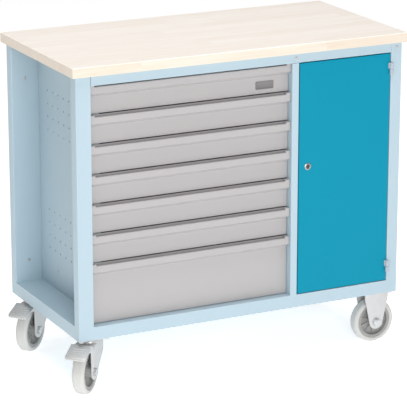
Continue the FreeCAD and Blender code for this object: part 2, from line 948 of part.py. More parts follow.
def make_swivel_plate():
    """Top plate of a swivel caster with the upper race and the riveted king pin."""
    plate = mounting_plate()
    race = Part.makeCone(
        race_radius, race_radius + upper_race_slope, race_depth, Vector(0, 0, race_bottom),
    )
    pin_foot = crown_bottom - race_gap - king_pin_head_height
    pin = rod(Vector(0, 0, pin_foot), ALONG_Z, king_pin_radius, plate_bottom - pin_foot)
    head = rod(Vector(0, 0, pin_foot), ALONG_Z, king_pin_head_radius, king_pin_head_height)
    return plate.fuse(race).fuse(pin).fuse(head).removeSplitter()


def mounting_plate():
    """Rectangular plate with rounded corners and four bolt holes."""
    plate = box(-plate_length / 2, -plate_width / 2, plate_bottom,
                plate_length / 2, plate_width / 2, plate_top)
    plate = plate.makeFillet(plate_corner_radius, upright_edges(plate))
    for x, y in plate_holes():
        plate = plate.cut(rod(Vector(x, y, plate_bottom - cut_past), ALONG_Z, plate_hole_radius,
                              plate_thickness + 2 * cut_past))
    return plate


def plate_holes():
    """Bolt hole places on a caster's plate."""
    places = []
    for sx in (-1, 1):
        for sy in (-1, 1):
            places.append((sx * plate_hole_spacing_x / 2, sy * plate_hole_spacing_y / 2))
    return places


def make_fixed_fork():
    """Plate and tapered legs of a fixed caster, pressed from one piece."""
    half_top = fixed_fork_top_width / 2
    shoulder_z = plate_bottom - fixed_fork_shoulder
    side_x, side_z = tangent_on_left(-half_top, shoulder_z, 0, wheel_radius, fork_end_radius)
    outline = [
        (-half_top, plate_bottom),
        (half_top, plate_bottom),
        (half_top, shoulder_z),
        (-side_x, side_z),
        (0, wheel_radius),
        (side_x, side_z),
        (-half_top, shoulder_z),
    ]
    fork = mounting_plate()
    for leg in leg_pair(outline, 0):
        fork = fork.fuse(leg)
    fork = fork.removeSplitter()
    return fork.cut(axle_bore(0, axle_radius))


def make_axle(axle_x):
    """Axle bolt through both legs, and its nut."""
    foot = -fork_half_width - nut_height - axle_end
    head_y = fork_half_width
    shank = rod(Vector(axle_x, foot, wheel_radius), ALONG_Y, axle_radius, head_y - foot)
    head = hexagon(Vector(axle_x, head_y, wheel_radius), ALONG_Y, axle_head_flats,
                   axle_head_height)
    bolt = shank.fuse(head).removeSplitter()
    nut = hexagon(Vector(axle_x, -fork_half_width, wheel_radius), ALONG_Y * -1,
                  axle_head_flats, nut_height)
    nut = nut.cut(shank)
    return [bolt, nut]


def make_rim(axle_x):
    """Wheel centre: hub, web and outer ring, turned about the axle."""
    bore = axle_radius + axle_clearance
    inner_ring = rim_radius - rim_ring
    half_hub, half_web, half_rim = hub_length / 2, rim_web / 2, rim_width / 2
    profile = [
        (bore, half_hub), (hub_radius, half_hub), (hub_radius + web_slope, half_web),
        (inner_ring - web_slope, half_web), (inner_ring, half_rim), (rim_radius, half_rim),
        (rim_radius, -half_rim), (inner_ring, -half_rim), (inner_ring - web_slope, -half_web),
        (hub_radius + web_slope, -half_web), (hub_radius, -half_hub), (bore, -half_hub),
    ]
    return [turned(profile, axle_x)]


def make_tyre(axle_x):
    """Tyre with rounded shoulders on the rim."""
    half = tyre_width / 2
    profile = [
        (rim_radius, half), (wheel_radius, half), (wheel_radius, -half), (rim_radius, -half),
    ]
    ring = turned(profile, axle_x)
    shoulders = []
    for edge in ring.Edges:
        if edge.isClosed() and edge.Curve.Radius > wheel_radius - 1e-6:
            shoulders.append(edge)
    return [ring.makeFillet(tyre_shoulder, shoulders)]


def turned(profile, axle_x):
    """A profile of (radius, y) points turned about the axle."""
    corners = [Vector(axle_x + r, y, wheel_radius) for r, y in profile]
    corners.append(corners[0])
    face = Part.Face(Part.makePolygon(corners))
    return face.revolve(Vector(axle_x, 0, wheel_radius), ALONG_Y, 360)


def pedal_pivot():
    """Middle of the pin that the brake pedal turns on."""
    return Vector(caster_trail + pedal_pivot_out, 0, plate_top - pedal_pivot_below_plate)


def make_brake_pedal():
    """Foot pedal with an ear on each side of the fork and a shoe over the tyre."""
    half = fork_half_width + pedal_side_gap
    root_z = plate_top - pedal_root_below_plate
    tip_z = root_z - pedal_fall
    fall_rate = pedal_fall / (pedal_tip_out - pedal_root_out)
    top_line = [
        (pedal_root_out, root_z), (pedal_tip_out, tip_z), (pedal_tip_out, tip_z - pedal_tip_curl),
    ]
    outline = folded_outline(top_line, pedal_sheet, -1, pedal_sheet)
    pedal = Part.Face(outline).extrude(Vector(0, 0, 2 * (half + pedal_sheet)))
    # Stand the flat outline up: flat y becomes z, and the width runs along -Y.
    pedal.Placement = FreeCAD.Placement(
        Vector(0, half + pedal_sheet, 0), FreeCAD.Rotation(ALONG_X, 90))
    pivot = pedal_pivot()
    ear_end = pedal_root_out + pedal_ear_length
    ear_drop = fall_rate * pedal_ear_length
    # The ear starts inside the plate, so that the two are one piece.
    ear = [
        (pedal_root_out, root_z - pedal_sheet / 2),
        (pedal_root_out, root_z - pedal_sheet - pedal_ear_overlap),
        (pivot.x - pedal_ear_radius, pivot.z),
        (pivot.x, pivot.z - pedal_ear_radius),
        (ear_end, root_z - ear_drop - pedal_sheet - pedal_ear_overlap),
        (ear_end, root_z - ear_drop - pedal_sheet / 2),
    ]
    for y0 in (half, -half - pedal_sheet):
        side = prism_along_y(ear, y0, y0 + pedal_sheet)
        boss = rod(Vector(pivot.x, y0, pivot.z), ALONG_Y, pedal_ear_radius, pedal_sheet)
        pedal = pedal.fuse(side).fuse(boss)
    shoe_x = pedal_root_out + shoe_from_root
    reach = shoe_x - shoe_length / 2 - caster_trail
    tyre_z = wheel_radius + math.sqrt(wheel_radius ** 2 - reach ** 2)
    shoe_end = shoe_x + shoe_length
    shoe_top = root_z - pedal_sheet / 2 - fall_rate * (shoe_end - pedal_root_out)
    shoe = box(shoe_x, -shoe_half_width, tyre_z + shoe_tyre_gap, shoe_end, shoe_half_width,
               shoe_top)
    pedal = pedal.fuse(shoe).removeSplitter()
    bore = rod(Vector(pivot.x, -half - pedal_sheet - cut_past, pivot.z), ALONG_Y,
               pedal_pin_radius + pedal_pin_clearance, 2 * (half + pedal_sheet) + 2 * cut_past)
    return [pedal.cut(bore)]


def make_pedal_pin():
    """Pin across the fork that the pedal turns on."""
    half = fork_half_width + pedal_side_gap + pedal_sheet + axle_end
    return [rod(pedal_pivot() - ALONG_Y * half, ALONG_Y, pedal_pin_radius, 2 * half)]


caster_places = {
    "front_left": (caster_inset, caster_inset, front_left_heading),
    "rear_left": (caster_inset, frame_depth - caster_inset, rear_left_heading),
    "front_right": (frame_length - caster_inset, caster_inset, fixed_heading),
    "rear_right": (frame_length - caster_inset, frame_depth - caster_inset, fixed_heading),
}


def make_caster_bolts():
    """Bolts up through the caster plates, with their nuts on the carcass."""
    made = []
    for x, y, heading in caster_places.values():
        for hole_x, hole_y in plate_holes():
            px, py = x + hole_x, y + hole_y
            shank_top = frame_bottom + sheet + nut_height + bolt_end
            shank = rod(Vector(px, py, plate_bottom), ALONG_Z, bolt_radius,
                        shank_top - plate_bottom)
            head = hexagon(Vector(px, py, plate_bottom), ALONG_Z * -1, bolt_flats,
                           bolt_head_height)
            nut = hexagon(Vector(px, py, frame_bottom + sheet), ALONG_Z, bolt_flats,
                          nut_height)
            made.append(shank.fuse(head).removeSplitter())
            made.append(nut.cut(shank))
    return made


def bolt_clearance_holes():
    """Holes for the caster bolts in what they pass through."""
    holes = []
    for x, y, heading in caster_places.values():
        for hole_x, hole_y in plate_holes():
            foot = Vector(x + hole_x, y + hole_y, frame_bottom - cut_past)
            holes.append(rod(foot, ALONG_Z, plate_hole_radius, sheet + 2))
    return Part.makeCompound(holes)


# ---------------------------------------------------------------- assembly

def make_assembly_screws():
    """Screws that hold the panels together and hold the worktop down."""
    made = []
    for point in niche_screws + rail_screws:
        made.append(screw(point, ALONG_Y * -1, screw_length))
    for point in peg_wall_screws:
        made.append(screw(point, ALONG_X * -1, screw_length))
    for point in back_screws:
        made.append(screw(point, ALONG_Y, screw_length))
    for point in worktop_screws:
        made.append(screw(point, ALONG_Z * -1, wood_screw_length))
    return made


nodes["worktop"] = make_worktop()
holes_for_bolts = bolt_clearance_holes()
nodes["base_pan"] = [part.cut(holes_for_bolts) for part in make_base_pan()]
nodes["caster_channels"] = [part.cut(holes_for_bolts) for part in make_caster_channels()]
nodes["left_front_post"] = make_left_front_post()
nodes["front_top_rail"] = make_front_top_rail()
nodes["top_stretchers"] = make_top_stretchers()
nodes["rear_panel"] = make_rear_panel()
nodes["pegboard_panel"] = make_pegboard_panel()
nodes["right_side_panel"] = make_right_side_panel()
nodes["partition_panel"] = make_partition_panel()
nodes["cupboard_shelf"] = make_cupboard_shelf()
nodes["shelf_pins"] = make_shelf_pins()
nodes["assembly_screws"] = make_assembly_screws()
nodes["door_panel"] = make_door_panel()
nodes["door_hinge_sleeves"] = make_hinge_sleeves()
nodes["hinge_pins"] = make_hinge_pins()
nodes["lock_housing"] = make_lock_housing()
nodes["lock_plug"] = make_lock_plug()

cabinet_runners = []
for number in range(drawer_count):
    name = "drawer_%d" % (number + 1)
    nodes[name + "_box"] = make_drawer_box(number)
    nodes[name + "_front"] = make_drawer_front(number)
    nodes[name + "_slides"] = slide_members(number, 1)
    cabinet_runners += slide_members(number, 0)
nodes["cabinet_runners"] = cabinet_runners
nodes["badge_plate"] = make_badge_plate()

swivel_plates = []
fixed_forks = []
fixed_axles = []
for corner, (place_x, place_y, heading) in caster_places.items():
    if corner.endswith("left"):
        wheel_x = caster_trail
        swivel_plates += stand([make_swivel_plate()], place_x, place_y, 0)
        nodes[corner + "_fork"] = stand(make_swivel_fork(), place_x, place_y, heading)
        pins = make_axle(wheel_x) + make_pedal_pin()
        nodes[corner + "_axle"] = stand(pins, place_x, place_y, heading)
        nodes[corner + "_brake_pedal"] = stand(make_brake_pedal(), place_x, place_y, heading)
    else:
        wheel_x = 0.0
        fixed_forks += stand([make_fixed_fork()], place_x, place_y, heading)
        fixed_axles += stand(make_axle(wheel_x), place_x, place_y, heading)
    nodes[corner + "_rim"] = stand(make_rim(wheel_x), place_x, place_y, heading)
    nodes[corner + "_tyre"] = stand(make_tyre(wheel_x), place_x, place_y, heading)
nodes["swivel_plates"] = swivel_plates
nodes["fixed_forks"] = fixed_forks
nodes["fixed_axles"] = fixed_axles
nodes["caster_bolts"] = make_caster_bolts()

whole = Part.makeCompound([part for parts in nodes.values() for part in parts])
whole = whole.optimalBoundingBox(False, False)
to_origin = Vector(-(whole.XMin + whole.XMax) / 2, -(whole.YMin + whole.YMax) / 2, -whole.ZMin)

os.makedirs("parts", exist_ok=True)
for name, parts in nodes.items():
    solids = []
    for part in parts:
        solids += part.Solids
    shape = solids[0] if len(solids) == 1 else Part.makeCompound(solids)
    shape.translate(to_origin)
    shape.exportStep("parts/" + name + ".step")
    print(name, "solids", len(solids), "valid", shape.isValid(), "volume", round(shape.Volume))
print("moved by", to_origin)
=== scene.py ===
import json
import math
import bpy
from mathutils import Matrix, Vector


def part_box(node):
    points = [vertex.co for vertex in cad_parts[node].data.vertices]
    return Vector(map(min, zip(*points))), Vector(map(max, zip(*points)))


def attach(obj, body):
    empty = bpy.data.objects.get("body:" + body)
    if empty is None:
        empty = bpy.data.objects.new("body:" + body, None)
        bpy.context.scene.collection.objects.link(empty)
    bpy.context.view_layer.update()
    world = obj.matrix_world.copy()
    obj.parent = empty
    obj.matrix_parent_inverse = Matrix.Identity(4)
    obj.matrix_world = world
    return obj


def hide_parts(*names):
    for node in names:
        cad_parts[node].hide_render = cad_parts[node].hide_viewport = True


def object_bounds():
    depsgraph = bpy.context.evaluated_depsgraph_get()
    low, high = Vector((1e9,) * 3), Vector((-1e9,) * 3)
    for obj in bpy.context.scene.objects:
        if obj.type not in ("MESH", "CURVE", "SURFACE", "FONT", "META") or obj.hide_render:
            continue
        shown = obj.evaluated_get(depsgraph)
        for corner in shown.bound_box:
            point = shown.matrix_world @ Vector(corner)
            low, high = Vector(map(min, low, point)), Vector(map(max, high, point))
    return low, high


bl_info = {
    "name": "Mobile Workbench",
    "version": (1, 0, 0),
    "blender": (4, 5, 0),
    "location": "View3D > Sidebar > Workbench",
    "description": "Finishes a steel workbench with drawers, cupboard and casters",
    "category": "Object",
}

import bmesh
import bpy
from bpy.props import FloatProperty, FloatVectorProperty, IntProperty, PointerProperty
from bpy.types import Operator, Panel, PropertyGroup
from mathutils import Matrix, Vector

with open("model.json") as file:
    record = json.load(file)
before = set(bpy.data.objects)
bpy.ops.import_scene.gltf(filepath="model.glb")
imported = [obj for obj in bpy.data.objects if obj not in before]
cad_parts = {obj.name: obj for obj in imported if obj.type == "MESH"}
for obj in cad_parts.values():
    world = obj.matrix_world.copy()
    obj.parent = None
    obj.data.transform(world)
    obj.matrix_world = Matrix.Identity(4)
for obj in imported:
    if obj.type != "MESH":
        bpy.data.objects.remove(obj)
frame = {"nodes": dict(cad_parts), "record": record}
cad_low, cad_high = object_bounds()

CASTERS = ("front_left", "rear_left", "front_right", "rear_right")
SWIVELS = ("front_left", "rear_left")
DRAWERS = tuple("drawer_%d" % number for number in range(1, 8))
FRAME_NODES = (
    "base_pan", "caster_channels", "left_front_post", "front_top_rail", "top_stretchers",
    "rear_panel", "pegboard_panel", "right_side_panel", "partition_panel", "cupboard_shelf",
)
JOINTS = {joint["name"]: joint for joint in frame["record"]["behaviour"]["joints"]}
MM = 0.001
# Points nearer than WELD are one point, edges shorter than SLIVER go after a cut, and edges bent
# more than SHARP stay sharp in the shading.
WELD = 0.0001 * MM
SLIVER = 0.002 * MM
SHARP = math.radians(35)


# ---- properties

def colour(name, description, default):
    """A colour that the panel shows."""
    return FloatVectorProperty(
        name=name, description=description, subtype="COLOR", size=3, min=0.0, max=1.0,
        default=default,
    )


def number(name, description, default, **kind):
    """A number that the panel shows."""
    return FloatProperty(name=name, description=description, default=default, **kind)


def length(name, description, default):
    """A length in metres that the panel shows."""
    return number(name, description, default, unit="LENGTH")


class BenchColours(PropertyGroup):
    """Colours of the bench's finishes."""

    wood: colour("Wood", "Lacquered beech of the worktop", (0.94, 0.885, 0.83))
    wood_dark: colour("Wood grain", "Darker growth rings of the beech", (0.82, 0.72, 0.61))
    # Painted shade: this colour darkens the worktop's sides, standing in for the shade that falls
    # on them.
    wood_side_shade: colour("Wood edges", "How far the sanded edges darken", (0.79, 0.75, 0.69))
    frame_paint: colour("Frame", "Powder coat of the carcass", (0.42, 0.542, 0.613))
    door_paint: colour("Door", "Powder coat of the cupboard door", (0.0, 0.255, 0.38))
    hinge_paint: colour("Hinges", "Pale coat of the hinges", (0.40, 0.45, 0.51))
    drawer_paint: colour("Drawer fronts", "Powder coat of the drawer fronts", (0.425, 0.408, 0.41))
    tray_paint: colour("Drawer trays", "Powder coat of the drawer trays", (0.30, 0.30, 0.31))
    zinc: colour("Zinc", "Zinc plate on slides and fasteners", (0.62, 0.63, 0.64))
    fork_zinc: colour("Caster forks", "Bright plate on forks and pedals", (0.60, 0.60, 0.60))
    tyre: colour("Tyres", "Pale rubber of the tyres", (0.60, 0.60, 0.58))
    rim: colour("Wheel centres", "Moulded nylon of the wheel centres", (0.33, 0.33, 0.32))
    nickel: colour("Lock", "Nickel of the lock", (0.40, 0.40, 0.40))
    plug: colour("Lock plug", "Blackened steel of the lock's plug", (0.10, 0.10, 0.10))
    badge: colour("Blank plate", "Satin aluminium of the blank plate", (0.21, 0.20, 0.20))


class BenchSizes(PropertyGroup):
    """Sizes of the details."""

    stave: length("Stave width", "Width of one glued stave of the worktop", 0.045)
    paint_grain: length("Paint grain", "Size of the powder coat's fine texture", 0.0016)
    wheel_radius: length("Wheel radius", "Outside radius of the tyres", 0.0625)
    tyre_width: length("Tyre width", "Width of the tyres", 0.034)
    rim_radius: length("Rim radius", "Radius where tyre and wheel centre meet", 0.050)
    rim_width: length("Rim width", "Width of the wheel centre's ring", 0.030)
    hub_radius: length("Hub radius", "Radius of the wheel's hub", 0.015)
    hub_width: length("Hub width", "Length of the wheel's hub", 0.047)
    rib_count: IntProperty(name="Ribs", description="Ribs on each side of a wheel", default=10)
    fork_half: length("Fork half width", "Middle of the wheel to the outside of a leg", 0.027)
    fork_sheet: length("Fork sheet", "Thickness of the fork's steel", 0.0025)
    fork_end: length("Fork end", "Radius of a leg's end about the axle", 0.021)
    trail: length("Trail", "Swivel axis to the axle", 0.033)
    crown_front: length("Crown front", "Swivel axis to the crown's leading edge", 0.036)
    plate_top: length("Plate top", "Height of the casters' top plates", 0.155)
    plate_length: length("Plate length", "Length of a caster's plate", 0.096)
    plate_width: length("Plate width", "Width of a caster's plate", 0.090)
    plate_sheet: length("Plate thickness", "Thickness of a caster's plate", 0.003)
    axle_radius: length("Axle radius", "Radius of the wheels' axles", 0.006)
    axle_flats: length("Axle flats", "Across the flats of the axle's head and nut", 0.019)
    bolt_flats: length("Bolt flats", "Across the flats of the plates' bolts and nuts", 0.013)


class BenchStage(PropertyGroup):
    """Camera and light."""

    azimuth: number("Azimuth", "Way that the camera looks round the bench",
                    math.radians(-26.45), subtype="ANGLE")
    elevation: number("Elevation", "Height of the camera above the horizon",
                      math.radians(16.22), subtype="ANGLE")
    distance: length("Distance", "Distance from the camera to what it looks at", 6.471)
    lens: number("Lens", "Focal length", 205.9, unit="CAMERA")
    table: number("Light table", "Glow of the floor", 0.54)
    sky: number("Sky", "Strength of the even light", 0.36)
    key: number("Key", "Power of the large front lamp", 98.0, unit="POWER")
    top: number("Top", "Power of the lamp overhead", 140.0, unit="POWER")


# ---- helpers

class Finish:
    """A material with short ways to add and join its nodes."""

    def __init__(self, name, **shader):
        self.material = bpy.data.materials.new(name)
        self.material.use_nodes = True
        self.tree = self.material.node_tree
        self.tree.nodes.clear()
        output = self.add("OutputMaterial")
        self.shader = self.add("BsdfPrincipled", **shader)
        self.tree.links.new(self.shader.outputs[0], output.inputs[0])
        self.material.diffuse_color = (*shader["Base Color"], 1.0)

    def add(self, kind, settings=None, **inputs):
        """A node with settings (its own options) and inputs (numbers, colours or links)."""
        made = self.tree.nodes.new("ShaderNode" + kind)
        for key, value in (settings or {}).items():
            setattr(made, key, value)
        for key, value in inputs.items():
            self.feed(made, key.replace("_", " "), value)
        return made

    def feed(self, made, key, value):
        """Set one input of a node, or join another node's output to it."""
        socket = made.inputs[int(key) if key.isdigit() else key]
        if isinstance(value, bpy.types.NodeSocket):
            self.tree.links.new(value, socket)
        elif socket.type == "RGBA":
            socket.default_value = (*value, 1.0)
        else:
            socket.default_value = value

    def stretched(self, where, scale):
        """A place stretched by scale."""
        return self.add("Mapping", Vector=where, Scale=scale).outputs[0]

    def place(self, scale=(1, 1, 1)):
        """Where a point of the piece lies, in metres, stretched by scale."""
        return self.stretched(self.add("TexCoord").outputs["Object"], scale)

    def chance(self, seed):
        """A number from 0 to 1 that is the same wherever the seed is the same."""
        return self.add("TexWhiteNoise", {"noise_dimensions": "1D"}, W=seed).outputs[0]

    def noise(self, vector, scale, detail=2.0, roughness=0.5, distortion=0.0):
        """Soft noise from 0 to 1."""
        made = self.add("TexNoise", Vector=vector, Scale=scale, Detail=detail,
                        Roughness=roughness, Distortion=distortion)
        return made.outputs["Fac"]

    def ramp(self, value, *stops):
        """A colour ramp with (place, colour) stops."""
        made = self.add("ValToRGB", Fac=value)
        band = made.color_ramp
        while len(band.elements) < len(stops):
            band.elements.new(0.5)
        for element, (at, shade) in zip(band.elements, stops):
            element.position = at
            element.color = (*shade, 1.0)
        return made.outputs[0]

    def spread(self, value, low, high):
        """A value from 0 to 1 spread between low and high."""
        return self.add("MapRange", Value=value, To_Min=low, To_Max=high).outputs[0]

    def mix(self, share, a, b, blend="MIX"):
        """Two colours mixed."""
        settings = {"data_type": "RGBA", "blend_type": blend}
        return self.add("Mix", settings, **{"0": share, "6": a, "7": b}).outputs[2]

    def reckon(self, way, a, b=0.0):
        """Arithmetic on one or two numbers."""
        return self.add("Math", {"operation": way}, **{"0": a, "1": b}).outputs[0]

    def join(self, value, key):
        """Join a value to the shader."""
        self.tree.links.new(value, self.shader.inputs[key])

    def clouded(self, cloud, tint, darkest):
        """Base colour that a cloud darkens here and there, down to a share of itself."""
        darker = tuple(part * darkest for part in tint)
        self.join(self.mix(cloud, tint, darker), "Base Color")

    def roughened(self, value, low, high):
        """Roughness that follows a value."""
        self.join(self.spread(value, low, high), "Roughness")

    def bump(self, height, depth):
        """Surface relief, depth in metres."""
        self.join(self.add("Bump", Height=height, Distance=depth).outputs[0], "Normal")


def colours():
    """The colours set in the panel."""
    return bpy.context.scene.bench_colours


def sizes():
    """The sizes set in the panel."""
    return bpy.context.scene.bench_sizes


def dress(finish, *names):
    """Give a finish to CAD nodes."""
    for name in names:
        slots = frame["nodes"][name].data.materials
        slots.clear()
        slots.append(finish.material)


def slot_of(node):
    """The record's material slot of a CAD node."""
    for part in frame["record"]["subparts"]:
        if part["node"] == node:
            return part["material_slot"]
    raise KeyError(node)


def instead_of(node):
    """The slot and the name of a CAD node that a piece stands for."""
    return slot_of(node), node


def placed(name, data):
    """A new object in the scene."""
    made = bpy.data.objects.new(name, data)
    bpy.context.scene.collection.objects.link(made)
    return made


def piece(name, mesh, finish, body, slot, *replaced):
    """A finished piece that rides on a body and may stand for CAD nodes."""
    mesh.name = name
    for polygon in mesh.polygons:
        polygon.use_smooth = True
    mesh.set_sharp_from_angle(angle=SHARP)
    mesh.materials.clear()
    mesh.materials.append(finish.material)
    made = placed(name, mesh)
    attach(made, body)
    if replaced:
        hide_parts(*replaced)
    return made


# ---- shapes

def arc(centre, radius, start, end, steps=8):
    """Points along an arc, its angles in degrees."""
    points = []
    for k in range(steps + 1):
        angle = math.radians(start + (end - start) * k / steps)
        points.append((centre[0] + radius * math.cos(angle), centre[1] + radius * math.sin(angle)))
    return points


def mirrored(profile):
    """The other half of a profile that is the same above and below the middle."""
    return [(radius, -z) for radius, z in reversed(profile)]


def finished(bm):
    """The mesh of a bmesh, its faces looking outward."""
    bmesh.ops.remove_doubles(bm, verts=bm.verts, dist=WELD)
    bmesh.ops.recalc_face_normals(bm, faces=bm.faces)
    mesh = bpy.data.meshes.new("shape")
    bm.to_mesh(mesh)
    bm.free()
    return mesh


def prism(outline, low, high):
    """A flat outline drawn out along Z."""
    bm = bmesh.new()
    foot = [bm.verts.new((x, y, low)) for x, y in outline]
    head = [bm.verts.new((x, y, high)) for x, y in outline]
    bm.faces.new(foot)
    bm.faces.new(head)
    for k in range(len(outline)):
        j = (k + 1) % len(outline)
        bm.faces.new((foot[k], foot[j], head[j], head[k]))
    return finished(bm)


def turned(profile, steps=64):
    """A profile of (radius, height) turned about Z. It closes on itself or on the axis."""
    bm = bmesh.new()
    rings = []
    for k in range(steps):
        angle = 2 * math.pi * k / steps
        c, s = math.cos(angle), math.sin(angle)
        rings.append([bm.verts.new((r * c, r * s, z)) for r, z in profile])
    for k in range(steps):
        here, there = rings[k], rings[(k + 1) % steps]
        for i in range(len(profile)):
            j = (i + 1) % len(profile)
            if profile[i][0] > 0 or profile[j][0] > 0:
                bm.faces.new((here[i], here[j], there[j], there[i]))
    return finished(bm)


def moved(mesh, place):
    """A copy of a mesh at another place."""
    copy = mesh.copy()
    copy.transform(place)
    if place.determinant() < 0:
        copy.flip_normals()
    return copy


def gathered(meshes):
    """Several meshes in one."""
    bm = bmesh.new()
    for mesh in meshes:
        bm.from_mesh(mesh)
    whole = bpy.data.meshes.new("shape")
    bm.to_mesh(whole)
    bm.free()
    return whole


def worked(mesh, *steps):
    """A mesh joined to, cut by or kept inside others. Each step is (operation, mesh)."""
    base = placed("blank", mesh)
    tools = []
    for operation, tool_mesh in steps:
        tools.append(placed("tool", tool_mesh))
        modifier = base.modifiers.new("work", "BOOLEAN")
        modifier.operation = operation
        modifier.object = tools[-1]
        modifier.solver = "EXACT"
    result = bpy.data.meshes.new_from_object(
        base.evaluated_get(bpy.context.evaluated_depsgraph_get()))
    for made in (base, *tools):
        bpy.data.objects.remove(made)
    bm = bmesh.new()
    bm.from_mesh(result)
    bmesh.ops.remove_doubles(bm, verts=bm.verts, dist=SLIVER)
    bmesh.ops.dissolve_degenerate(bm, edges=bm.edges, dist=SLIVER)
    return finished(bm)


def softened(mesh, width):
    """A mesh with its sharp edges rounded."""
    weld, flat, sharp = 1e-6, math.radians(1), math.radians(40)
    bm = bmesh.new()
    bm.from_mesh(mesh)
    bmesh.ops.remove_doubles(bm, verts=bm.verts, dist=weld)
    bmesh.ops.dissolve_limit(bm, angle_limit=flat, verts=bm.verts, edges=bm.edges)
    edges = [edge for edge in bm.edges
             if len(edge.link_faces) == 2 and edge.calc_face_angle(0) > sharp]
    bmesh.ops.bevel(bm, geom=edges, offset=width, segments=2, profile=0.5,
                    affect="EDGES", clamp_overlap=True)
    return finished(bm)


def rounded_rectangle(width, height, radius, steps=6):
    """Outline of a rectangle with rounded corners, about the middle."""
    x, y = width / 2 - radius, height / 2 - radius
    return (arc((x, y), radius, 0, 90, steps) + arc((-x, y), radius, 90, 180, steps)
            + arc((-x, -y), radius, 180, 270, steps) + arc((x, -y), radius, 270, 360, steps))


def block(low, high):
    """A box between two corners."""
    corners = [(low[0], low[1]), (high[0], low[1]), (high[0], high[1]), (low[0], high[1])]
    return prism(corners, low[2], high[2])


def rod(radius, low, high, steps=48, ease=0.0):
    """A round bar on Z, its ends eased."""
    if ease:
        profile = ([(0, low)] + arc((radius - ease, low + ease), ease, -90, 0, 4)
                   + arc((radius - ease, high - ease), ease, 0, 90, 4) + [(0, high)])
    else:
        profile = [(0, low), (radius, low), (radius, high), (0, high)]
    return turned(profile, steps)


def along(direction, place=(0, 0, 0)):
    """A place whose Z looks along a direction."""
    turn = Vector((0, 0, 1)).rotation_difference(Vector(direction)).to_matrix().to_4x4()
    return Matrix.Translation(Vector(place)) @ turn


# Stands a flat outline upright: its y becomes z and its height runs along -Y.
LYING = Matrix.Rotation(math.radians(90), 4, "X")


def hex_prism(flats, low, high, chamfer_low=False):
    """A hexagonal prism on Z with its corners chamfered at the top, and at the bottom too when
    chamfer_low is set.
    """
    corner = flats / math.sqrt(3)
    outline = arc((0, 0), corner, 0, 300, 5)
    face, reach, slope = flats * 0.475, corner * 1.05, math.radians(30)
    drop = (reach - face) * math.tan(slope)
    if chamfer_low:
        profile = [(0, low), (face, low), (reach, low + drop)]
    else:
        profile = [(0, low - MM), (reach, low - MM)]
    profile += [(reach, high - drop), (face, high), (0, high)]
    return worked(prism(outline, low, high), ("INTERSECT", turned(profile, steps=48)))


def threaded_rod(radius, low, high, pitch):
    """A round bar on Z with a rolled thread."""
    depth, start, rise, crest = pitch * 0.45, 0.15, 0.35, 0.5
    profile = [(0, low), (radius - depth, low)]
    for k in range(int((high - low) / pitch)):
        z = low + (k + start) * pitch
        profile += [(radius - depth, z), (radius, z + rise * pitch), (radius, z + crest * pitch)]
    profile += [(radius - depth, high), (0, high)]
    return turned(profile, steps=24)


def hex_bolt(flats, head, radius, shank, threaded, pitch):
    """A bolt: its head stands on z = 0 and the shank hangs below, threaded at its end."""
    plain, into_head = shank - threaded, 0.0003
    return gathered([hex_prism(flats, 0, head), rod(radius, -plain, into_head, steps=24),
                     threaded_rod(radius, -shank, -plain, pitch)])


def hex_nut(flats, height, radius):
    """A nut on z = 0, chamfered on both faces."""
    hole = rod(radius, -MM, height + MM, steps=24)
    return worked(hex_prism(flats, 0, height, True), ("DIFFERENCE", hole))


def solids_of(node):
    """The (lowest corner, highest corner, points) of every solid in a CAD node."""
    mesh = frame["nodes"][node].data
    keys = [tuple(round(c, 6) for c in vertex.co) for vertex in mesh.vertices]
    parent = {key: key for key in keys}

    def root(key):
        while parent[key] != key:
            parent[key] = parent[parent[key]]
            key = parent[key]
        return key

    for polygon in mesh.polygons:
        first = root(keys[polygon.vertices[0]])
        for index in polygon.vertices[1:]:
            parent[root(keys[index])] = first
    groups = {}
    for key in sorted(parent):
        groups.setdefault(root(key), []).append(Vector(key))
    found = []
    for points in groups.values():
        low = Vector(min(p[k] for p in points) for k in range(3))
        high = Vector(max(p[k] for p in points) for k in range(3))
        found.append((low, high, points))
    return sorted(found, key=lambda item: tuple(item[0]))


# ---- finishes

